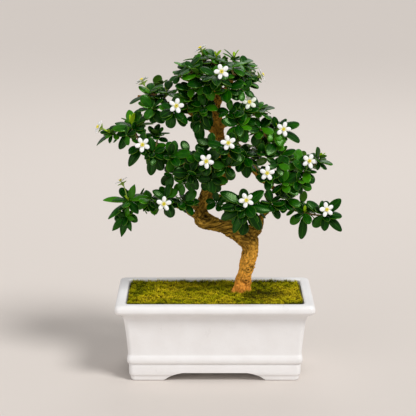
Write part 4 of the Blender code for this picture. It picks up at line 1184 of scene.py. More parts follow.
def rounded(points: Profile, steps: int, share: float = 0.42) -> list[tuple[float, ...]]:
    """An outline with its corners rounded.

    Args:
        points: the corners, end points among them.
        steps: how many stretches each corner becomes.
        share: how far along each side its rounding reaches.

    Returns:
        The rounder outline, with the same end points.
    """
    rounder = [points[0]]
    for before, corner, after in zip(points, points[1:], points[2:]):
        first = [c + (b - c) * share for b, c in zip(before, corner)]
        last = [c + (a - c) * share for a, c in zip(after, corner)]
        for t in (step / steps for step in range(steps + 1)):
            rounder.append(tuple(f * (1 - t) ** 2 + c * 2 * t * (1 - t) + e * t * t
                                 for f, c, e in zip(first, corner, last)))
    return [*rounder, points[-1]]


@dataclass(frozen=True)
class Pot:
    """The glazed pot, in millimetres: rounded rim, cove, raised band, stepped foot and arches."""

    length: float = 160.0
    depth: float = 88.0
    corner: float = 4.0
    wall_corner: float = 5.0
    corner_steps: int = 10
    # Height and set-back from the rim's outermost line
    outside: Profile = (
        (0.0, 13.4), (0.1, 12.6), (0.8, 11.9), (4.4, 11.6), (5.0, 10.6), (13.4, 10.4), (14.2, 10.9),
        (15.2, 9.4), (18.2, 8.9), (21.4, 9.6), (22.2, 10.0), (38.0, 8.7), (53.0, 7.0), (56.0, 5.2),
        (58.8, 1.0), (60.5, 0.0), (63.6, 0.1), (65.4, 1.2), (66.0, 3.0), (66.0, 6.2), (65.9, 7.6))
    inside: Profile = ((65.9, 7.6), (64.8, 9.0), (11.0, 13.8))
    # Height and half width of the arches
    front_arch: Profile = (
        (-1.0, 43.0), (0.0, 42.0), (1.6, 39.6), (3.4, 37.0), (5.8, 32.0), (7.0, 26.0))
    side_arch: Profile = ((-1.0, 17.6), (0.0, 17.0), (3.4, 14.0), (5.8, 11.0), (7.0, 7.0))
    drain_radius: float = 5.0
    drain_place: float = 20.0
    drain_heights: tuple[float, ...] = (2.0, 10.0, 20.0)
    softening: float = 0.45
    softened_from: float = math.radians(38)
    sharp_from: float = math.radians(50)

    def ring(self, height: float, inset: float, corner: float) -> Line:
        """A level rounded rectangle of the pot's shape.

        Args:
            height: above the table.
            inset: set-back from the rim's outermost line.
            corner: the corners' radius.

        Returns:
            Its points.
        """
        half_long, half_deep = self.length / 2 - inset - corner, self.depth / 2 - inset - corner
        points = []
        for quarter, (x, y) in enumerate(((1, 1), (-1, 1), (-1, -1), (1, -1))):
            for step in range(self.corner_steps + 1):
                angle = math.radians(90 * (quarter + step / self.corner_steps))
                points.append(VIEW.above(x * half_long + corner * math.cos(angle),
                                         y * half_deep + corner * math.sin(angle), height))
        return points

    def body(self) -> Solid:
        """The pot before its arches are cut.

        Returns:
            A closed solid.
        """
        levels = [(*level, self.corner) for level in rounded(self.outside, 4)]
        levels += [(*level, self.wall_corner) for level in rounded(self.inside, 4)[1:]]
        rings = [self.ring(*level) for level in levels]
        points = np.concatenate([np.array(ring) for ring in rings])
        return Solid(points, sleeve(len(rings[0]), len(rings)))

    def channel(self, profile: Profile, length: float, turned: bool) -> Item:
        """A cutter for an arch that runs through the foot.

        Args:
            profile: heights and half widths.
            length: how long the cutter is.
            turned: whether it runs along X.

        Returns:
            The cutter.
        """
        halves = rounded(profile, 5)
        outline = halves + [(height, -half) for height, half in reversed(halves)]
        points = [VIEW.above(end, half, height) if turned else VIEW.above(half, end, height)
                  for end in (-length / 2, length / 2) for height, half in outline]
        return Sketch().add(Solid(np.array(points), sleeve(len(outline), 2))).piece("arch_cutter")

    def drain(self, side: int) -> Item:
        """A cutter for a drain hole in the pot's floor, left (-1) or right (1)."""
        line = [VIEW.above(side * self.drain_place, 0.0, z) for z in self.drain_heights]
        return Sketch().add(tube(line, [self.drain_radius * MM] * len(line), 32)).piece("drain_cutter")

    def build(self) -> Item:
        """Build the pot and glaze it.

        Returns:
            The pot.
        """
        rough = Sketch().add(self.body()).piece("pot_body")
        cutters = [self.channel(self.front_arch, 2 * self.depth, False),
                   self.channel(self.side_arch, 2 * self.length, True), self.drain(-1), self.drain(1)]
        for cutter in cutters:
            step = rough.modifiers.new("cut", "BOOLEAN")
            step.operation = "DIFFERENCE"
            step.object = cutter
        soft = rough.modifiers.new("soft edges", "BEVEL")
        soft.width = self.softening * MM
        soft.segments = 3
        soft.limit_method = "ANGLE"
        soft.angle_limit = self.softened_from
        pot = finished(rough, "glazed_pot", GlazeFinish().make())
        for cutter in cutters:
            bpy.data.objects.remove(cutter)
        pot.data.set_sharp_from_angle(angle=self.sharp_from)
        return stand_for(pot, Surface.GLAZE, "pot")


@dataclass(frozen=True)
class Moss:
    """The moss mat: lumps and tufts of short shoots, in millimetres."""

    top: float = 63.9
    bump: float = 1.2
    edge_rise: float = 0.3
    edge_width: float = 4.0
    mound_rise: float = 1.4
    mound_reach: float = 20.0
    low: float = 56.35
    inset: float = 10.1
    corner: float = 5.0
    cell: float = 0.8
    tuft_step: float = 3.3
    tuft_rise: float = 2.3
    shoots: int = 58
    reach_over: float = 0.8
    shoot_length: float = 2.0
    shoot_radius: float = 0.19
    sunk: float = 1.3
    trunk_room: float = 7.0
    # Places painted brown as shade, where the shoots are also fewer and shorter, and places that are
    # golden, with their reach
    painted_shade_spots: tuple[tuple[Seen, float], ...] = (
        ((262, 291, -8), 9.0), ((276, 289, -4), 8.0), ((250, 296, -14), 5.0), ((232, 297, -4), 4.0))
    golden: tuple[tuple[Seen, float], ...] = (
        ((165, 292, -5), 17.0), ((195, 296, -14), 16.0), ((291, 294, -12), 14.0),
        ((148, 298, -20), 14.0), ((225, 300, -24), 9.0), ((292, 286, 10), 10.0))

    def halves(self) -> tuple[float, float]:
        """Half the mat's length and half its depth."""
        return Pot.length / 2 - self.inset, Pot.depth / 2 - self.inset

    def edge(self, x: float, y: float) -> float:
        """How far inside the pot's wall a place is.

        Args:
            x: to the right, in millimetres.
            y: to the back.

        Returns:
            The distance from the wall, in millimetres.
        """
        half_long, half_deep = self.halves()
        over_x = abs(x) - (half_long - self.corner)
        over_y = abs(y) - (half_deep - self.corner)
        if over_x > 0 and over_y > 0:
            return self.corner - math.hypot(over_x, over_y)
        return min(half_long - abs(x), half_deep - abs(y))

    def height(self, x: float, y: float) -> float:
        """The mat's height at a place, both in millimetres from the pot's middle.

        Args:
            x: to the right.
            y: to the back.

        Returns:
            The height above the table.
        """
        broad = noise.noise(Vector((x * MM * 60, y * MM * 60, 3.1)))
        fine = noise.noise(Vector((x * MM * 170, y * MM * 170, 8.7)))
        lump = noise.noise(Vector((x * 0.33, y * 0.33, 5.0))) * 0.5
        foot = self.spot(TRUNK[2][:3])
        away = math.hypot(x - foot.x, y - foot.y) / self.mound_reach
        outer = 1 - held(self.edge(x, y) / self.edge_width)
        return (self.top + (broad + fine / 2) * self.bump + lump
                + self.mound_rise * hump(away) + self.edge_rise * outer)

    @functools.cache
    def spot(self, place: Seen) -> Vector:
        """A seen place, in millimetres from the pot's middle."""
        return (VIEW.point(place) - VIEW.pot_middle()) / MM

    def near(self, spots: tuple[tuple[Seen, float], ...], x: float, y: float) -> float:
        """How near a place is to any of some spots.

        Args:
            spots: seen places, each with its reach.
            x: to the right, in millimetres.
            y: to the back.

        Returns:
            A share from 0 to 1.
        """
        nearness = 0.0
        for place, reach in spots:
            spot = self.spot(place)
            away = math.hypot(x - spot.x, (y - spot.y) * 0.8) / reach
            nearness = max(nearness, hump(away))
        return nearness

    def tone(self, x: float, y: float) -> float:
        """Where the moss is golden rather than olive.

        Args:
            x: to the right, in millimetres.
            y: to the back.

        Returns:
            A share from 0 to 1.
        """
        patch = 0.5 + 0.9 * noise.noise(Vector((x * 0.055, y * 0.09, 1.7)))
        fine = 0.35 * noise.noise(Vector((x * 0.4, y * 0.4, 2.9)))
        return held(patch * 0.6 + 0.1 + fine + 0.45 * self.near(self.golden, x, y))

    def shade(self, x: float, y: float) -> float:
        """Where the moss is painted brown: painted shade round the shaded spots, and stray brown
        patches elsewhere; its shoots are fewer and shorter there too.

        Args:
            x: to the right, in millimetres.
            y: to the back.

        Returns:
            A share from 0 to 1.
        """
        ragged = 0.75 + 0.6 * noise.noise(Vector((x * 0.35, y * 0.35, 7.7)))
        stray = max(0.0, noise.noise(Vector((x * 0.16, y * 0.22, 11.0))) - 0.33) * 1.6
        return held(self.near(self.painted_shade_spots, x, y) * ragged + stray)

    def mat(self) -> Sketch:
        """The mat under the tufts.

        Returns:
            A closed plate with a lumpy top.
        """
        half_long, half_deep = self.halves()
        wide, deep = round(2 * half_long / self.cell), round(2 * half_deep / self.cell)
        places = []
        for j, i in itertools.product(range(deep + 1), range(wide + 1)):
            x, y = half_long * (2 * i / wide - 1), half_deep * (2 * j / deep - 1)
            outside = max(0.0, -self.edge(x, y)) * 0.75
            places.append((x - math.copysign(outside, x), y - math.copysign(outside, y)))
        points = [VIEW.above(x, y, self.height(x, y)) for x, y in places]
        points += [VIEW.above(x, y, self.low) for x, y in places]
        return Sketch().add(
            Solid(np.array(points), plate(deep + 1, wide + 1)),
            tone=np.array([self.tone(x, y) for x, y in places] * 2),
            shade=np.array([self.shade(x, y) for x, y in places] * 2), tip=0.12)

    def tufts(self, side: int) -> Sketch:
        """The moss shoots of one half of the pot.

        Args:
            side: -1 for the left half, 1 for the right.

        Returns:
            The shoots; tip tells how far up a shoot a point lies.
        """
        draw = Random(f"moss {side}")
        trunk = self.spot(TRUNK[2][:3])
        middle = VIEW.pot_middle()
        points, tones, shades, tips = [], [], [], []
        half_long, half_deep = self.halves()
        steps_long = round(half_long / self.tuft_step)
        steps_deep = round(2 * half_deep / self.tuft_step)
        for i, j in itertools.product(range(steps_long), range(steps_deep)):
            x = side * (i + draw.uniform(0.1, 0.9)) / steps_long * half_long
            y = half_deep * (2 * (j + draw.uniform(0.1, 0.9)) / steps_deep - 1)
            shade = self.shade(x, y)
            tone = held(self.tone(x, y) + draw.uniform(-0.2, 0.2))
            size = draw.uniform(0.7, 1.25)
            for _ in range(round(self.shoots * (1 - 0.45 * shade))):
                away = math.sqrt(draw.random()) * size * self.tuft_step * 0.8
                turn = draw.uniform(0, math.tau)
                px, py = x + away * math.cos(turn), y + away * math.sin(turn)
                if (self.edge(px, py) < -self.reach_over
                        or math.hypot(px - trunk.x, py - trunk.y) < self.trunk_room):
                    continue
                dome = max(0.0, 1 - (away / (size * self.tuft_step * 0.75)) ** 2)
                root = Vector((px, py, self.height(px, py) - self.sunk + self.tuft_rise * size * dome))
                lean = away * 0.5
                tip = root + Vector((
                    lean * math.cos(turn) + draw.gauss(0, 0.45),
                    lean * math.sin(turn) + draw.gauss(0, 0.45),
                    self.shoot_length * draw.uniform(0.6, 1.25) * (1 - 0.4 * shade)))
                if self.edge(tip.x, tip.y) < -self.reach_over:
                    tip.x, tip.y = px, py
                spin = draw.uniform(0, math.tau)
                for angle in (spin + math.tau * k / 3 for k in range(3)):
                    out = Vector((math.cos(angle), math.sin(angle), 0.0)) * self.shoot_radius
                    points.append(middle + (root + out) * MM)
                points.append(middle + tip * MM)
                tones += [tone + draw.uniform(-0.12, 0.12)] * 4
                shades += [shade] * 4
                tips += [0.05 + 0.25 * dome] * 3
                tips.append(0.35 + 0.65 * dome * draw.uniform(0.7, 1.1))
        faces = []
        for a in range(0, len(points), 4):
            faces += [(a, a + 1, a + 3), (a + 1, a + 2, a + 3), (a + 2, a, a + 3), (a, a + 2, a + 1)]
        return Sketch().add(Solid(np.array(points), faces), tone=np.array(tones),
                            shade=np.array(shades), tip=np.array(tips))

    def build(self) -> None:
        """Build the mat and both halves of the tufts."""
        finish = MossFinish().make()
        stand_for(self.mat().piece("moss_mat", [finish]), Surface.MOSS, "moss")
        for side, name in ((-1, "moss_tufts_left"), (1, "moss_tufts_right")):
            stand_for(self.tufts(side).piece(name, [finish], outwards=False), Surface.MOSS)


class Scar(NamedTuple):
    """A knot or cut on the bark: where it is seen, its radius, and its ring's rise in millimetres."""

    at: Seen
    radius: float
    rise: float


@dataclass(frozen=True)
class Wood:
    """The trunk and branches as one grown body with cracked bark, in millimetres."""

    voxel: float = 0.55
    block: int = 4000
    steps: int = 5
    thick_from: float = 3.1
    thick_sides: int = 18
    thin_sides: int = 12
    stub_radii: tuple[float, ...] = (1.15, 1.0, 0.85)
    stub_sides: int = 10
    crack_depth: float = 1.15
    # How the cracks' noise runs across and along a limb, and its layers: scale and share
    crack_across: float = 480.0
    crack_along: float = 230.0
    crack_slant: Way = (0.31, 0.17, 1.0)
    crack_base: float = -0.1
    crack_level: float = 0.6
    crack_layers: Profile = ((1.0, 1.6), (2.1, 0.9), (4.3, 0.5))
    lump_layers: Profile = ((95.0, 1.0), (210.0, 0.5))
    full_from: float = 5.0
    scar_reach: float = 5.0
    grain_pull: float = 0.62
    grain_slant: Way = (0.1, 0.06, 1.0)
    lump_depth: float = 1.1
    scars: tuple[Scar, ...] = (
        Scar((248.4, 269.9, -6.5), 1.5, 0.7), Scar((243.6, 254.0, -7.5), 1.3, 0.6),
        Scar((254.0, 265.5, -3.0), 1.4, 1.0), Scar((225, 168, -2), 2.4, 0.8),
        Scar((246, 236, -11), 2.6, 0.8), Scar((206, 216, -12), 2.2, 0.9),
        Scar((221, 141, -1), 1.6, 0.6), Scar((246, 281, -6), 1.6, 0.5),
    )

    def limbs(self) -> list[Limb]:
        """Every limb: the stem, the branches and the stubs of the sprays.

        Returns:
            Each limb's points, radii and sides.
        """
        limbs = []
        for route in (TRUNK, *BRANCHES):
            points = [VIEW.point(place[:3]) for place in route]
            radii = [place[3] * MM for place in route]
            sides = self.thick_sides if route[0][3] > self.thick_from else self.thin_sides
            limbs.append((*smoothed(points, radii, self.steps), sides))
        for spray in SPRAYS:
            joint, _ = spray.joint()
            root = spray.point(spray.root)
            radii = [radius * MM for radius in self.stub_radii]
            limbs.append(([root, root.lerp(joint, 0.5), joint], radii, self.stub_sides))
        return limbs

    def grown(self, limbs: list[Limb]) -> Item:
        """One closed body through all the limbs.

        Args:
            limbs: points, radii and sides of each.

        Returns:
            The body, remeshed into small even faces.
        """
        sketch = Sketch()
        for points, radii, sides in limbs:
            sketch.add(tube(points, radii, sides))
        rough = sketch.piece("limbs")
        even = rough.modifiers.new("even faces", "REMESH")
        even.mode = "VOXEL"
        even.voxel_size = self.voxel * MM
        soft = rough.modifiers.new("soft joints", "SMOOTH")
        soft.factor = 0.5
        soft.iterations = 3
        return finished(rough, "trunk_and_branches", BarkFinish().make())

    def bark(self, body: Item, limbs: list[Limb]) -> None:
        """Push cracks, lumps and scars into the bark, and note how deep each point lies.

        Args:
            body: the grown body.
            limbs: the limbs that it was grown from.
        """
        line, sizes, ways, runs = [], [], [], []
        for points, radii, _ in limbs:
            run = 0.0
            for k, (point, radius) in enumerate(zip(points, radii)):
                after, before = points[min(k + 1, len(points) - 1)], points[max(k - 1, 0)]
                run += (point - points[k - 1]).length if k else 0.0
                line.append(point)
                sizes.append(radius)
                ways.append((after - before).normalized())
                runs.append(run)
        centres, thick = np.array(line), np.array(sizes)
        mesh = body.data
        size = len(mesh.vertices)
        places, normals = np.empty(size * 3), np.empty(size * 3)
        mesh.vertices.foreach_get("co", places)
        mesh.vertices.foreach_get("normal", normals)
        places, normals = places.reshape(-1, 3), normals.reshape(-1, 3)
        nearest = np.empty(size, int)
        for first in range(0, size, self.block):
            few = slice(first, first + self.block)
            away = np.linalg.norm(places[few, None, :] - centres[None, :, :], axis=2)
            nearest[few] = np.argmin(away - thick[None, :], axis=1)
        moves, grooves, marks = np.empty(size), np.empty(size), np.zeros(size)
        grain = np.empty((size, 3))
        knots = [(VIEW.point(scar.at), scar.radius * MM, scar.rise * MM) for scar in self.scars]
        for i in range(size):
            place, k = Vector(places[i]), nearest[i]
            way, radius = ways[k], thick[k]
            out = place - line[k]
            along = out.dot(way)
            out -= way * along
            run = runs[k] + along
            spot = out * self.crack_across + Vector(self.crack_slant) * run * self.crack_along
            grain[i] = out + Vector(self.grain_slant) * run * self.grain_pull
            grooves[i] = min(1.0, self.crack_base + sum(
                abs(noise.noise(spot * scale)) * share for scale, share in self.crack_layers))
            lump = sum(noise.noise(place * scale) * share for scale, share in self.lump_layers)
            move = (grooves[i] - self.crack_level) * self.crack_depth + lump * self.lump_depth
            move *= held(radius / (self.full_from * MM)) * MM
            for centre, reach, rise in knots:
                away = math.hypot(place.x - centre.x, place.z - centre.z) / reach
                near = abs(place.y - centre.y) < self.scar_reach * MM
                if away < 3.0 and normals[i][1] < 0.0 and near:
                    move += (hump(away, 1.0, 0.4) - 0.9 * hump(away, 0.0, 0.6)) * rise
                    dark = hump(away, 0.0, 0.6) + 0.55 * hump(away, 1.5, 0.3)
                    marks[i] = min(0.92, max(marks[i], dark))
            moves[i] = move
        mesh.vertices.foreach_set("co", (places + normals * moves[:, None]).ravel())
        mesh.attributes.new("groove", "FLOAT", "POINT").data.foreach_set("value", grooves)
        mesh.attributes.new("scar", "FLOAT", "POINT").data.foreach_set("value", marks)
        mesh.attributes.new("grain", "FLOAT_VECTOR", "POINT").data.foreach_set("vector", grain.ravel())
        mesh.update()

    def build(self) -> Item:
        """Grow the wood and give it its bark.

        Returns:
            The trunk with its branches.
        """
        limbs = self.limbs()
        body = self.grown(limbs)
        self.bark(body, limbs)
        return stand_for(body, Surface.BARK, "trunk")


class LeafPlace(NamedTuple):
    """A leaf's place, X along it and Z out of its upper side, with its size."""

    frame: Matrix
    length: float
    width: float
    stations: tuple[Spot, ...] = ()


@dataclass(frozen=True)
class LeafRule:
    """How leaves are set out round a shoot; the same draws as the solids' give the same places."""

    length: float = 14.6 * MM
    width: float = 0.57
    thickness: float = 0.7 * MM
    step: float = 137.5
    leafy: float = 3.6 * MM
    shown: tuple[Spot, ...] = (
        (0.46, 0.46, 0.050), (0.82, 0.42, 0.000), (1.00, 0.00, -0.060))
    filling: tuple[Spot, ...] = ((0.56, 0.48, 0.050), (0.95, 0.24, -0.020))
    blade_from: float = 0.24
    spread: float = 82.0
    closing: float = 40.0
    upright_opening: float = 20.0
    sizes: tuple[float, ...] = (1.0, 0.84)
    leans: tuple[int, ...] = (0, -8, 8, -16, 16, -26, 26)
    swings: tuple[int, ...] = (0, 7, -7, 15, -15, 27, -27)
    droop: float = 0.02
    bow: float = 0.26
    lift: float = 0.55

    def axes(self, axis: Vector) -> tuple[Vector, Vector]:
        """The two directions across a shoot that its leaves' turns are counted in.

        Args:
            axis: the way the shoot points.

        Returns:
            The direction to the right, then the one that stands on it.
        """
        sideways = Vector((1.0, 0.0, 0.0))
        right = (sideways - axis * axis.dot(sideways)).normalized()
        return right, axis.cross(right)

    def frame(self, start: Vector, axis: Vector, turn: float, spread: float, roll: float) -> Matrix:
        """A leaf's place, with its upper side towards the end of the shoot.

        Args:
            start: where its stalk starts.
            axis: the way the shoot points.
            turn: the angle round the shoot.
            spread: the angle away from it.
            roll: the angle about the leaf's own length.

        Returns:
            The matrix from the leaf's own space.
        """
        right, up = self.axes(axis)
        outwards = right * math.cos(turn) + up * math.sin(turn)
        along = axis * math.cos(spread) + outwards * math.sin(spread)
        face = axis + Vector((0.0, -0.1, 0.35))
        face = (face - along * along.dot(face)).normalized()
        across = face.cross(along)
        turned = Matrix.Rotation(roll, 4, "X")
        return Matrix.Translation(start) @ Matrix((along, across, face)).transposed().to_4x4() @ turned

    def choices(self, spray: Spray, shoot: Shoot, number: int) -> Iterator[list[LeafPlace]]:
        """For each leaf of a shoot, the places that its solid may have taken, best first.

        Args:
            spray: the spray.
            shoot: the shoot.
            number: which of the spray's shoots it is.

        Yields:
            One leaf's places.
        """
        draw = Random(f"{spray.name} {number}")
        axis = shoot.axis()
        hub = spray.point(shoot.at)
        right, up = self.axes(axis)
        count = len(shoot.tips) + shoot.leaves
        for index in range(count):
            rank = index / max(1, count - 1)
            start = hub + axis * self.leafy * rank
            roll = math.radians(draw.uniform(-14, 14))
            if index < len(shoot.tips):
                stations = self.shown
                reach = spray.point(shoot.tips[index]) - start
                length = reach.length
                turn = math.atan2(reach.dot(up), reach.dot(right))
                spread = math.acos(reach.dot(axis) / length)
            else:
                stations = self.filling
                turn = math.radians(shoot.turn + index * self.step + draw.uniform(-9, 9))
                closing = (self.closing - self.upright_opening * max(0.0, axis.z)) * rank
                spread = math.radians(self.spread - closing + draw.uniform(-8, 8))
                length = self.length * shoot.size * (1.06 - 0.24 * rank) * draw.uniform(0.86, 1.14)
            width = min(length, self.length) * self.width * draw.uniform(0.9, 1.08)
            yield [
                LeafPlace(self.frame(start, axis, turn + math.radians(swing),
                                     spread + math.radians(lean), roll),
                          length * size, width * size, stations)
                for size in self.sizes for lean in self.leans for swing in self.swings
            ]

    def corners(self, place: LeafPlace) -> Line:
        """The corners of a leaf's solid.

        Args:
            place: the leaf's place.

        Returns:
            The points above and below.
        """
        lift = self.thickness / 2
        return [place.frame @ Vector((share * place.length, side * half * place.width,
                                      rise * place.length + face * lift))
                for share, half, rise in place.stations for side in (-1, 1) for face in (-1, 1)]

    def settled(self, solid: BVHTree, places: list[LeafPlace]) -> LeafPlace:
        """The place that a solid leaf has taken.

        Args:
            solid: the surface of the leaf's spray.
            places: the places that it may have taken.

        Returns:
            The place whose corners lie on the surface.
        """
        best, least = places[0], math.inf
        for place in places:
            worst = max(solid.find_nearest(corner)[3] for corner in self.corners(place))
            if worst < least:
                best, least = place, worst
            if worst < 0.02 * MM:
                break
        return best

    def lying(self, place: LeafPlace, share: float) -> LeafPlace:
        """A leaf's place with its tip lower and its upper side turned to the light.

        Args:
            place: where the solid's leaf lies.
            share: how much of the turn it makes.

        Returns:
            The new place.
        """
        turned = place.frame.to_3x3()
        along, face = turned.col[0].copy(), turned.col[2].copy()
        along.z -= (self.droop + self.bow * max(0.0, along.z)) * share
        along.normalize()
        face += Vector((0.0, 0.0, self.lift)) * share
        face = (face - along * along.dot(face)).normalized()
        axes = Matrix((along, face.cross(along), face)).transposed().to_4x4()
        return place._replace(frame=Matrix.Translation(place.frame.translation) @ axes)

    def outline(self, place: LeafPlace, spare: float) -> tuple[Line, list[Face]]:
        """A plain leaf blade, for seeing what it touches.

        Args:
            place: the leaf's place.
            spare: how much room it keeps round it.

        Returns:
            Its points and faces.
        """
        length, width = place.length, place.width + 2 * spare
        lift = self.thickness / 2 + spare
        flat = [(self.blade_from, 0.0), (0.46, -0.46), (0.82, -0.42), (1.0, 0.0), (0.82, 0.42),
                (0.46, 0.46)]
        points = [place.frame @ Vector((x * length, y * width, lift * side))
                  for side in (1, -1) for x, y in flat]
        return points, sleeve(len(flat), 2)


@dataclass(frozen=True)
class LeafForm:
    """The shape of one leaf: what makes it different from its neighbours."""

    base: float
    tip: float
    fold: float
    cup: float
    curl: float
    twist: float
    wave: float
    tone: float
    young: float = 0.0
    slim: float = 0.0

    @classmethod
    def drawn(cls, draw: Random, light: float = 0.0, young: float = 0.0,
              slim: float = 0.0) -> "LeafForm":
        """A leaf's form from a seeded draw.

        Args:
            draw: the seeded draw.
            light: how much lighter its spray is painted than most: painted light above 0, painted shade
                below 0.
            young: how lime it is, up to 1.
            slim: how slim and pointed it is, up to 1.

        Returns:
            The form.
        """
        return cls(base=draw.uniform(0.58, 0.84), tip=draw.uniform(0.46, 0.66) + 0.34 * slim,
                   fold=draw.uniform(0.05, 0.34), cup=draw.uniform(0.12, 0.34),
                   curl=draw.uniform(0.06, 0.34), twist=draw.uniform(-0.22, 0.22),
                   # tone: the spray's painted light and shade, plus each leaf's own random tone
                   wave=draw.uniform(0.0, 0.05), tone=light + draw.uniform(0.0, 0.8) ** 1.3,
                   young=young, slim=slim)


@dataclass
class LeafBuilder:
    """Builds leaves with a stalk, rib, rim and two rounded halves."""

    # Along the blade, and across it: side to side, and 1 above, 0 at the rim, -1 below
    rows: tuple[float, ...] = (
        0.0, 0.05, 0.13, 0.24, 0.37, 0.50, 0.63, 0.75, 0.85, 0.925, 0.97, 0.993)
    ring: Profile = (
        (-0.95, 1), (-0.5, 1), (0.0, 1), (0.5, 1), (0.95, 1), (1.0, 0),
        (0.95, -1), (0.5, -1), (0.0, -1), (-0.5, -1), (-0.95, -1), (-1.0, 0))
    stalk: float = 0.12
    thickness: float = 0.34 * MM
    stalk_radius: float = 0.36 * MM
    keel: float = 0.28 * MM
    vein_step: float = 1.5 * MM

    def __post_init__(self) -> None:
        """Work out what all leaves share; two rows of points are the stalk's."""
        self.faces = sleeve(len(self.ring), len(self.rows) + 2)
        self.sides, self.levels = np.array(self.ring).T[:, None]

    def halves(self, form: LeafForm, width: float) -> tuple[np.ndarray, np.ndarray]:
        """How far along and how wide a leaf is, row by row.

        Args:
            form: the leaf's form.
            width: its full width.

        Returns:
            The shares of its length, and its half widths.
        """
        blade = np.array(self.rows)
        peak = form.base / (form.base + form.tip)
        full = peak ** form.base * (1 - peak) ** form.tip
        shape = np.maximum(blade, 1e-9) ** form.base * (1 - blade) ** form.tip / full
        half = np.maximum(shape * width * (0.52 - 0.14 * form.slim), self.stalk_radius)
        along = self.stalk + blade * (1 - self.stalk)
        return (np.concatenate([[0.0, self.stalk * 0.55], along]),
                np.concatenate([[self.stalk_radius] * 2, half]))

    def add(self, sketch: Sketch, place: LeafPlace, form: LeafForm) -> None:
        """Build a leaf.

        Args:
            sketch: what it becomes part of.
            place: where it grows.
            form: its form.
        """
        along, half = self.halves(form, place.width)
        rows, sides = along[:, None], self.sides
        blade = np.clip((rows - self.stalk) / (1 - self.stalk), 0.0, 1.0)
        open_ = np.clip(blade * 6.0, 0.0, 1.0) * np.clip((1 - blade) * 5.0 + 0.25, 0.0, 1.0)
        wide = half[:, None]
        x = rows * place.length
        y = sides * wide
        middle = place.length * (0.16 * rows - (0.16 + form.curl * 0.6) * rows ** 2 * 0.9)
        z = middle + wide * open_ * (form.fold * np.abs(sides) - form.cup * sides ** 2)
        z = z + wide * form.wave * np.sin(rows * 11.0 + form.tone * 9.0) * sides * open_
        round_stalk = (1 - np.clip(blade * 8.0, 0.0, 1.0)) * self.stalk_radius
        lift = self.thickness / 2 + round_stalk * np.sqrt(np.clip(1 - sides ** 2, 0.0, 1.0))
        keel = np.where((sides == 0) & (self.levels < 0), self.keel * (1 - blade), 0.0)
        z = z + self.levels * lift - keel
        angle = form.twist * rows
        y, z = y * np.cos(angle) - z * np.sin(angle), y * np.sin(angle) + z * np.cos(angle)
        flat = np.stack([np.broadcast_to(x, y.shape), y, z, np.ones_like(y)], axis=2).reshape(-1, 4)
        points = flat @ np.array(place.frame).T
        vein = (x - np.abs(sides) * wide * 0.75) / self.vein_step
        shares = {"along": rows, "across": sides, "under": self.levels < 0, "vein": vein}
        sketch.add(Solid(points[:, :3], self.faces), tone=form.tone, young=form.young,
                   **{name: np.broadcast_to(share, y.shape).ravel() for name, share in shares.items()})


@dataclass
class Room:
    """What stands where, so that the smaller leaves find room."""

    things: list[tuple[Vector, Vector, BVHTree]] = field(default_factory=list)
    sprays: dict[str, BVHTree] = field(default_factory=dict)

    def __post_init__(self) -> None:
        """Take in every solid of the tree."""
        for name, node in frame["nodes"].items():
            if name in ("pot", "soil", "moss"):
                continue
            points = [vertex.co.copy() for vertex in node.data.vertices]
            faces = [tuple(face.vertices) for face in node.data.polygons]
            tree = self.add(points, faces)
            if name.startswith("spray_"):
                self.sprays[name] = tree

    def add(self, points: Line, faces: list[Face]) -> BVHTree:
        """Remember a thing.

        Args:
            points: its points.
            faces: its faces.

        Returns:
            Its surface.
        """
        low = Vector([min(point[i] for point in points) for i in range(3)])
        high = Vector([max(point[i] for point in points) for i in range(3)])
        tree = BVHTree.FromPolygons(points, faces)
        self.things.append((low, high, tree))
        return tree

    def free(self, points: Line, faces: list[Face]) -> bool:
        """Whether a thing would touch nothing.

        Args:
            points: its points.
            faces: its faces.

        Returns:
            True where there is room.
        """
        low = [min(point[i] for point in points) for i in range(3)]
        high = [max(point[i] for point in points) for i in range(3)]
        own = BVHTree.FromPolygons(points, faces)
        for first, last, tree in self.things:
            if any(low[i] > last[i] or high[i] < first[i] for i in range(3)):
                continue
            if own.overlap(tree):
                return False
        return True


class SideShoot(NamedTuple):
    """A short shoot with a tuft of small leaves, and the spray that it is counted with."""

    spray: str
    root: Seen
    at: Seen
    points: Way
    leaves: int
    length: float
    turn: float = 0.0
    spread: float = 73.0


SIDE_SHOOTS = (
    SideShoot("lower_right_front", (229, 192, -12), (217, 203, -14), (-0.3, -0.8, 0.2), 6, 10.0, 30),
    SideShoot("lower_right_front", (250, 213, -10), (246, 217, -20), (0.0, -0.9, -0.35), 5, 14.0, 200),
    SideShoot("crown_top", (206, 66, -6), (190, 69, -16), (-0.5, -0.3, 1.0), 6, 12.0, 60, 98),
    SideShoot("crown_top", (212, 62, -4), (213, 59, -10), (0.1, -0.2, 1.0), 7, 12.0, 10, 100),
    SideShoot("crown_right", (236, 70, -6), (241, 66, -10), (0.2, -0.2, 1.0), 7, 12.0, 80, 100),
    SideShoot("crown_front", (214, 86, -10), (222, 78, -22), (0.2, -0.6, 0.9), 6, 12.0, 20, 90),
    SideShoot("crown_right", (238, 76, -6), (232, 69, -22), (0.0, -0.4, 1.0), 6, 12.0, 50, 98),
    SideShoot("crown_left", (194, 82, -4), (180, 76, -12), (-0.5, -0.3, 0.9), 6, 11.0, 50, 98),
    SideShoot("upper_right_mid", (242, 120, -6), (230, 112, -20), (-0.3, -0.75, 0.4), 6, 11.0, 30),
    SideShoot("upper_right_tip", (268, 150, -6), (277, 165, -22), (0.2, -0.8, 0.3), 6, 10.0, 10),
    SideShoot("mid_left_inner", (194, 172, -8), (184, 183, -20), (-0.3, -0.8, -0.2), 5, 9.5, 80),
    SideShoot("crown_right", (238, 82, -4), (243, 91, -18), (0.2, -0.8, 0.2), 5, 10.0, 60),
    SideShoot("mid_left_tip", (136, 124, -14), (127, 136, -18), (-0.5, -0.7, 0.3), 4, 9.0, 20, 80),
)


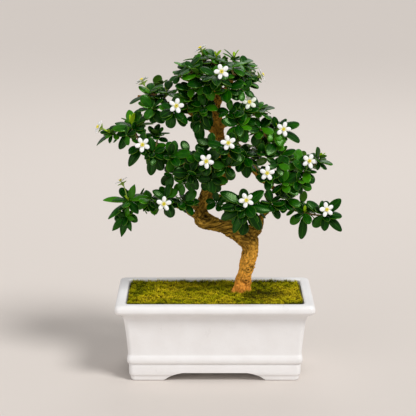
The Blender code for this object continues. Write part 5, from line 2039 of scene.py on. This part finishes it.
@dataclass
class Foliage:
    """Every spray: twigs, flower stalks, the solids' leaves and the smaller leaves between them."""

    twig_radius: float = 0.85 * MM
    twig_tip: float = 0.6 * MM
    twig_sides: int = 8
    twig_step: float = 3.4 * MM
    fork: float = 2.4 * MM
    gap: float = 0.35 * MM
    spare: float = 0.12 * MM
    # Smaller leaves and side shoots: shares of the rule's length, degrees, and millimetres
    tuft_leaves: int = 8
    tuft_turn: float = 68.0
    tuft_lengths: tuple[float, float] = (0.62, 0.92)
    tuft_spreads: tuple[float, float] = (62.0, 100.0)
    twig_lengths: tuple[float, float] = (0.55, 0.85)
    twig_spreads: tuple[float, float] = (70.0, 100.0)
    side_leafy: float = 1.5
    side_closing: float = 26.0
    bud_leaves: int = 3
    bud_width: float = 0.42
    bud_shrink: float = 0.28
    bud_spreads: tuple[float, float] = (8.0, 30.0)
    tuft_sizes: tuple[float, ...] = (1.0, 0.8)
    tuft_turns: tuple[tuple[int, int], ...] = (
        (0, 0), (0, 24), (0, -24), (-16, 10), (14, -10), (-28, 0), (10, 48), (-10, -48), (-38, 30),
        (-38, -30))
    flat_sprays: tuple[str, ...] = (
        "crown", "upper_left", "mid_left_tip", "upper_right_mid", "lower_left_tip")
    steep_share: float = 0.25
    # A flower's stalk, cup and sepals, in millimetres
    stalk_radius: float = 0.42
    cup_top: float = 1.5
    cup_depth: float = 2.8
    cup_heights: tuple[float, ...] = (-0.4, 0.0, 0.8, 1.7)
    cup_radii: tuple[float, ...] = (0.42, 0.6, 1.05, 1.35, 1.5)
    sepal_foot: tuple[float, float] = (0.7, 0.9)
    sepal_line: Profile = ((0.0, 0.0), (1.3, 0.35), (2.6, 0.45), (3.5, 0.3))
    sepal_radii: tuple[float, ...] = (0.5, 0.6, 0.42, 0.12)
    # Shares of a leaf's length at which it may hide something
    looked_at: tuple[float, ...] = (0.35, 0.7, 1.0)
    # Bare wood and gaps between the sprays: pixels across and down, and a radius in pixels
    clear: tuple[tuple[int, int, int], ...] = (
        (216, 108, 6), (218, 118, 6), (220, 130, 7), (221, 140, 6), (163, 176, 8), (158, 188, 8),
        (196, 126, 7), (190, 149, 5), (174, 82, 5), (303, 198, 7), (202, 186, 5), (250, 93, 4),
        (230, 166, 5), (250, 183, 9), (238, 181, 8))

    def __post_init__(self) -> None:
        """Set out the tools and finishes that all the sprays share."""
        self.rule = LeafRule()
        self.builder = LeafBuilder()
        self.room = Room()
        self.leaf = LeafFinish().make()
        self.twig = TwigFinish().make()
        self.stalk = CalyxFinish().make()
        self.low, self.high = solid_box

    def twig_lines(self, spray: Spray) -> list[Line]:
        """The middle line of each of a spray's twigs.

        Args:
            spray: the spray.

        Returns:
            One line for each shoot, from its joint out to its tip.
        """
        joint, way = spray.joint()
        lines = []
        for number, shoot in enumerate(spray.shoots):
            hub = spray.point(shoot.at)
            axis = shoot.axis()
            if shoot.parent < 0:
                start = joint + way * (-self.gap if number == 0 else self.fork)
                leaving = way
            else:
                start = spray.point(spray.shoots[shoot.parent].at)
                leaving = (hub - start).normalized()
            line = bend_between(start, leaving, hub, axis, 8)
            line.append(hub + axis * (self.rule.leafy + self.twig_tip))
            lines.append(line)
        return lines

    def add_twig(self, sketch: Sketch, line: Line, draw: Random) -> None:
        """Build a knobbly twig.

        Args:
            sketch: what it becomes part of.
            line: its middle line.
            draw: a seeded draw.
        """
        points, _ = smoothed(line, [0.0] * len(line), 3)
        radii = []
        for k in range(len(points)):
            share = k / (len(points) - 1)
            knob = 1.0 + (0.30 if k % 4 == 0 else 0.0) + draw.uniform(-0.08, 0.08)
            radii.append((self.twig_radius * (1 - share) + self.twig_tip * share) * knob)
        ages = np.repeat(np.linspace(0.0, 1.0, len(points)) ** 3, self.twig_sides)
        sketch.add(tube(points, radii, self.twig_sides), young=np.concatenate([ages, [0.0, 1.0]]))

    def leaf_box_fits(self, points: Line) -> bool:
        """Whether points lie in the box of the solids."""
        return all(self.low[i] <= point[i] <= self.high[i] for point in points for i in range(3))

    def hides(self, place: LeafPlace) -> bool:
        """Whether a smaller leaf would hide wood or fill a gap that is seen.

        Args:
            place: the leaf's place.

        Returns:
            True where it would.
        """
        for share in self.looked_at:
            across, down = VIEW.seen(place.frame @ Vector((place.length * share, 0.0, 0.0)))
            if any(math.hypot(across - x, down - y) < radius for x, y, radius in self.clear):
                return True
        return False

    def try_leaf(self, sketch: Sketch, places: Iterator[LeafPlace], form: LeafForm) -> bool:
        """Grow a smaller leaf in the first place with room for it.

        Args:
            sketch: the leaves that it joins.
            places: where it may grow, best first.
            form: its form.

        Returns:
            Whether it found room.
        """
        for place in places:
            if self.hides(place):
                continue
            points, faces = self.rule.outline(place, self.spare)
            if self.leaf_box_fits(points) and self.room.free(points, faces):
                self.room.add(points, faces)
                self.builder.add(sketch, place, form)
                return True
        return False

    def tuft_places(self, start: Vector, axis: Vector, turn: float, spread: float,
                    length: float, draw: Random) -> Iterator[LeafPlace]:
        """Places for a smaller leaf round a shoot or a twig.

        Args:
            start: where its stalk starts.
            axis: the way that the shoot or twig points.
            turn: the angle round it, in degrees.
            spread: the angle away from it, in degrees.
            length: the leaf's length.
            draw: a seeded draw.

        Yields:
            The places, best first.
        """
        roll = math.radians(draw.uniform(-18, 18))
        width = length * self.rule.width * draw.uniform(0.92, 1.08)
        for size, (lean, swing) in itertools.product(self.tuft_sizes, self.tuft_turns):
            matrix = self.rule.frame(start, axis, math.radians(turn + swing),
                                     math.radians(spread + lean), roll)
            yield LeafPlace(matrix, length * size, width * size)

    def add_smaller_leaves(self, sketch: Sketch, spray: Spray, lines: list[Line]) -> list[bool]:
        """Fill the room between a spray's leaves.

        Args:
            sketch: the leaves that they join.
            spray: the spray.
            lines: its twigs' middle lines.

        Returns:
            For each leaf, whether it found room.
        """
        draw = Random(f"smaller {spray.name}")
        found = []
        up = Vector((0.0, 0.0, 1.0))
        for shoot, line in zip(spray.shoots, lines):
            axis = shoot.axis()
            level = (axis + up * 0.9).normalized()
            hub = spray.point(shoot.at)
            for index in range(self.tuft_leaves):
                start = hub + axis * self.rule.leafy * draw.uniform(-0.3, 1.0)
                length = self.rule.length * shoot.size * draw.uniform(*self.tuft_lengths)
                turn = shoot.turn + self.tuft_turn + index * self.rule.step
                spread = draw.uniform(*self.tuft_spreads)
                places = self.tuft_places(start, level, turn, spread, length, draw)
                found.append(self.try_leaf(sketch, places, LeafForm.drawn(draw, spray.light)))
            steps = max(0, int(sum((b - a).length for a, b in zip(line, line[1:])) / self.twig_step))
            for index in range(1, steps):
                k = index / steps * (len(line) - 2)
                a, b = line[int(k)], line[int(k) + 1]
                start, way = a.lerp(b, k - int(k)), ((b - a).normalized() + up).normalized()
                length = self.rule.length * draw.uniform(*self.twig_lengths)
                turn = index * self.rule.step + draw.uniform(0, 60)
                spread = draw.uniform(*self.twig_spreads)
                places = self.tuft_places(start, way, turn, spread, length, draw)
                found.append(self.try_leaf(sketch, places, LeafForm.drawn(draw, spray.light)))
        return found

    def add_bud(self, sketch: Sketch, shoot: Shoot, spray: Spray, draw: Random) -> None:
        """Build the small lime leaves at the tip of a growing shoot.

        Args:
            sketch: the leaves that they join.
            shoot: the shoot.
            spray: its spray.
            draw: a seeded draw.
        """
        axis = shoot.axis()
        start = spray.point(shoot.at) + axis * (self.rule.leafy + 0.4 * MM)
        turn = draw.uniform(0, 360)
        for k in range(self.bud_leaves):
            length = shoot.bud * (1.0 - self.bud_shrink * k) * MM
            matrix = self.rule.frame(start, (axis + Vector((0.0, 0.0, 1.2))).normalized(),
                                     math.radians(turn + 360 * k / self.bud_leaves),
                                     math.radians(draw.uniform(*self.bud_spreads)), 0.0)
            form = LeafForm.drawn(draw, young=draw.uniform(0.65, 1.0))
            self.builder.add(sketch, LeafPlace(matrix, length, length * self.bud_width), form)

    def add_side_shoot(self, leaves: Sketch, twigs: Sketch, side: SideShoot, draw: Random) -> None:
        """Build a short shoot with a tuft of small leaves.

        Args:
            leaves: the leaves that its own join.
            twigs: the twigs that its twig joins.
            side: the shoot.
            draw: a seeded draw.
        """
        root, hub = VIEW.point(side.root), VIEW.point(side.at)
        axis = Vector(side.points).normalized()
        line = bend_between(root, (hub - root).normalized(), hub, axis, 6)
        self.add_twig(twigs, [*line, hub + axis * self.side_leafy * MM], draw)
        for index in range(side.leaves):
            matrix = self.rule.frame(
                hub + axis * (self.side_leafy * index / side.leaves) * MM, axis,
                math.radians(side.turn + index * self.rule.step),
                math.radians(side.spread + draw.uniform(-14, 14)
                             - self.side_closing * index / side.leaves),
                math.radians(draw.uniform(-12, 12)))
            length = side.length * draw.uniform(0.82, 1.08) * MM
            place = LeafPlace(matrix, length, length * self.rule.width)
            points, faces = self.rule.outline(place, 0.0)
            if self.leaf_box_fits(points):
                self.room.add(points, faces)
                self.builder.add(leaves, place, LeafForm.drawn(draw))

    def add_stalks(self, sketch: Sketch, spray: Spray) -> None:
        """Build the stalk, cup and sepals of each of a spray's flowers.

        Args:
            sketch: what they become part of.
            spray: the spray.
        """
        for flower in FLOWERS:
            if flower.spray != spray.name:
                continue
            shoot = spray.shoots[flower.shoot]
            axis = shoot.axis()
            start = spray.point(shoot.at) + axis * self.rule.leafy
            matrix = flower.frame()
            facing = (matrix.to_3x3() @ Vector((0.0, 0.0, 1.0))).normalized()
            top = matrix.translation - facing * self.cup_top * MM
            foot = top - facing * self.cup_depth * MM
            line = bend_between(start, axis, foot, facing, 10)
            sketch.add(tube(line, [self.stalk_radius * MM] * len(line), 8), 1)
            cup = [*(foot + facing * height * MM for height in self.cup_heights), top]
            sketch.add(tube(cup, [radius * MM for radius in self.cup_radii], 12), 1)
            for k in range(Blossom.petals):
                angle = math.tau * (k + 0.5) / Blossom.petals
                out = matrix.to_3x3() @ Vector((math.cos(angle), math.sin(angle), 0.0))
                base = top - facing * self.sepal_foot[1] * MM + out * self.sepal_foot[0] * MM
                points = [base + out * reach * MM + facing * rise * MM
                          for reach, rise in self.sepal_line]
                sketch.add(tube(points, [radius * MM for radius in self.sepal_radii], 6), 1)

    def build_spray(self, spray: Spray) -> None:
        """Build one spray as a piece of leaves and a piece of twigs.

        Args:
            spray: the spray.
        """
        node = "spray_" + spray.name
        draw = Random(f"forms {spray.name}")
        leaves, twigs = Sketch(), Sketch()
        lines = self.twig_lines(spray)
        level = 1.0 if spray.name.startswith(self.flat_sprays) else self.steep_share
        for number, (shoot, line) in enumerate(zip(spray.shoots, lines)):
            self.add_twig(twigs, line, draw)
            for places in self.rule.choices(spray, shoot, number):
                place = self.rule.settled(self.room.sprays[node], places)
                form = LeafForm.drawn(draw, spray.light, slim=spray.slim)
                self.builder.add(leaves, self.rule.lying(place, level), form)
            if shoot.bud:
                self.add_bud(leaves, shoot, spray, draw)
        for side_shoot in SIDE_SHOOTS:
            if side_shoot.spray == spray.name:
                self.add_side_shoot(leaves, twigs, side_shoot, draw)
        found = self.add_smaller_leaves(leaves, spray, lines)
        log.info("%s: %d of %d smaller leaves found room", spray.name, sum(found), len(found))
        self.add_stalks(twigs, spray)
        stand_for(leaves.piece("leaves_" + spray.name, [self.leaf]), Surface.LEAF, node)
        stand_for(twigs.piece("twigs_" + spray.name, [self.twig, self.stalk]), Surface.BARK, node)

    def build(self) -> None:
        """Build every spray."""
        for spray in SPRAYS:
            self.build_spray(spray)


@dataclass
class Blossom:
    """One flower's petals and stamens, in the flower's own space."""

    petals: int = 5
    radius: float = 5.9 * MM
    depth: float = 0.47 * MM
    thickness: float = 0.32 * MM
    base: float = 0.62
    tip: float = 0.44
    half_width: float = 0.295
    throat: float = 0.10
    greenish_share: float = 0.6
    # Places along an anther and up the pistil, with their radii, in millimetres
    anther: Profile = ((-0.35, 0.2), (-0.15, 0.46), (0.15, 0.52), (0.45, 0.38), (0.62, 0.12))
    pistil: Profile = ((0.1, 0.7), (0.5, 0.72), (0.9, 0.55), (1.3, 0.28), (1.7, 0.2))
    thread_radius: float = 0.2 * MM
    # Along a petal and across it, as on a leaf
    rows: tuple[float, ...] = (
        0.0, 0.07, 0.16, 0.27, 0.40, 0.53, 0.66, 0.78, 0.88, 0.95, 0.985, 1.0)
    columns: tuple[float, ...] = (-1.0, -0.72, -0.36, 0.0, 0.36, 0.72, 1.0)

    def __post_init__(self) -> None:
        """Mix the finishes that all the flowers share."""
        self.white = PetalFinish().make()
        self.greenish = PetalFinish().make(self.greenish_share)
        self.yellow = StamenFinish().make()

    def petal(self, turn: float, draw: Random) -> tuple[Solid, np.ndarray, np.ndarray]:
        """One petal.

        Args:
            turn: the angle that it points in.
            draw: a seeded draw.

        Returns:
            The petal, and how far along and across it each point lies.
        """
        rows, columns = np.array(self.rows)[:, None], np.array(self.columns)[None, :]
        base, tip = self.base, self.tip
        peak = base / (base + tip)
        shape = (np.maximum(rows, 0.02) ** base * np.maximum(1 - rows, 0.004) ** tip
                 / (peak ** base * (1 - peak) ** tip))
        half = self.radius * self.half_width * shape * draw.uniform(0.94, 1.05)
        reach = self.radius * draw.uniform(1.0, 1.04)
        start = self.radius * self.throat
        x = start + rows * (reach - start)
        x = x - self.radius * 0.015 * columns ** 2 * rows
        y = columns * half
        cup = draw.uniform(0.05, 0.13)
        z = (-self.depth * (1 - rows) ** 2 + self.radius * (0.20 * rows - 0.16 * rows ** 2)
             + half * cup * (1.0 - 2.2 * columns ** 2))
        z = z + self.radius * draw.uniform(-0.02, 0.02) * rows ** 2
        edge = np.sqrt(np.clip(1 - columns ** 2, 0.06, 1.0)) * np.clip((1 - rows) * 6 + 0.2, 0, 1)
        layers = [np.stack(np.broadcast_arrays(x, y, z + sign * edge * self.thickness / 2), axis=2)
                  for sign in (1, -1)]
        points = np.concatenate(layers).reshape(-1, 3)
        c, s = math.cos(turn), math.sin(turn)
        points = np.stack([points[:, 0] * c - points[:, 1] * s, points[:, 0] * s + points[:, 1] * c,
                           points[:, 2]], axis=1)
        along, across = (np.tile(np.broadcast_to(share, edge.shape).ravel(), 2)
                         for share in (rows, columns))
        return Solid(points, plate(len(self.rows), len(self.columns))), along, across

    def stamens(self, sketch: Sketch, draw: Random) -> None:
        """Build the anthers on their stalks round the pistil.

        Args:
            sketch: what they become part of.
            draw: a seeded draw.
        """
        up = Vector((0.0, 0.0, 1.0))
        for k in range(self.petals):
            angle = math.tau * (k + 0.5) / self.petals
            out = Vector((math.cos(angle), math.sin(angle), 0.0))
            foot = out * 0.55 * MM
            head = out * draw.uniform(0.85, 1.0) * MM + up * draw.uniform(1.0, 1.25) * MM
            sketch.add(tube([foot, foot.lerp(head, 0.5), head], [self.thread_radius] * 3, 6), young=0.4)
            way = (up + out * 0.5).normalized()
            line = [head + way * step * MM for step, _ in self.anther]
            sketch.add(tube(line, [radius * MM for _, radius in self.anther], 8))
        line = [up * height * MM for height, _ in self.pistil]
        sketch.add(tube(line, [radius * MM for _, radius in self.pistil], 10), young=1.0)

    def build(self, flower: Flower) -> None:
        """Build a flower's petals and its yellow middle.

        Args:
            flower: the flower.
        """
        draw = Random(f"petals {flower.name}")
        matrix = flower.frame()
        petals, middle = Sketch(), Sketch()
        for k in range(self.petals):
            solid, along, across = self.petal(math.tau * k / self.petals, draw)
            petals.add(solid, along=along, across=across)
        self.stamens(middle, draw)
        white = self.greenish if flower.greenish else self.white
        for sketch, name, finish, surface, node in (
                (petals, "petals_", white, Surface.PETAL, "corolla_"),
                (middle, "stamens_", self.yellow, Surface.STAMENS, "centre_")):
            item = sketch.piece(name + flower.name, [finish])
            item.data.transform(matrix)
            stand_for(item, surface, node + flower.name)


@dataclass(frozen=True)
class Studio:
    """A plain pale floor under soft light."""

    floor_size: float = 8.0
    sky: Colour = (0.97, 0.96, 0.96)
    sky_strength: float = 0.47
    target: Spot = (0.0, 0.0, 0.13)
    sun_place: Spot = (0.62, -0.62, 1.0)
    sun_strength: float = 2.25
    sun_width: float = 20.0

    def hang(self, kind: str, name: str, place: Spot, aim: Spot, **settings: float) -> None:
        """Hang a light.

        Args:
            kind: AREA for a soft square lamp, SUN for even light over the whole floor.
            name: its name.
            place: where it hangs.
            aim: what it points at.
            **settings: its own values, such as its power.
        """
        light = bpy.data.lights.new(name, kind)
        for key, value in settings.items():
            setattr(light, key, value)
        item = placed(name, light)
        item.location = place
        item.rotation_euler = (Vector(aim) - Vector(place)).to_track_quat("-Z", "Y").to_euler()

    def build(self) -> None:
        """Lay the floor and hang the lamps."""
        half = self.floor_size / 2
        sketch = Sketch()
        sketch.add(Solid(np.array([(-half, -half, 0), (half, -half, 0), (half, half, 0),
                                   (-half, half, 0)], float), [(0, 1, 2, 3)]))
        floor = sketch.piece("floor", [FloorFinish().make()], outwards=False)
        world = bpy.data.worlds.new("soft_room")
        world.use_nodes = True
        background = world.node_tree.nodes["Background"]
        background.inputs["Color"].default_value = (*self.sky, 1.0)
        background.inputs["Strength"].default_value = self.sky_strength
        bpy.context.scene.world = world
        self.hang("SUN", "window", self.sun_place, (0.0, 0.0, 0.0), energy=self.sun_strength,
                  angle=math.radians(self.sun_width))
        self.hang("AREA", "fill", (-0.9, -1.1, 0.5), self.target, size=1.0, energy=3.4)
        self.hang("AREA", "back", (0.2, 1.0, 1.1), self.target, size=0.8, energy=3.0)
        bpy.context.scene.view_settings.view_transform = "Standard"


def dress_soil() -> None:
    """Give the soil under the moss its finish."""
    soil = frame["nodes"]["soil"]
    finish = SoilFinish().make()
    for entry in soil.material_slots:
        entry.material = finish
    log.info("soil: dressed as it is")


def main() -> None:
    """Build every sub-assembly round the solids."""
    VIEW.add_camera()
    Pot().build()
    dress_soil()
    Moss().build()
    Wood().build()
    Foliage().build()
    blossom = Blossom()
    for flower in FLOWERS:
        blossom.build(flower)
    Studio().build()


if __name__ == "__main__":
    logging.basicConfig(level=logging.INFO, format="%(name)s %(message)s")
    main()
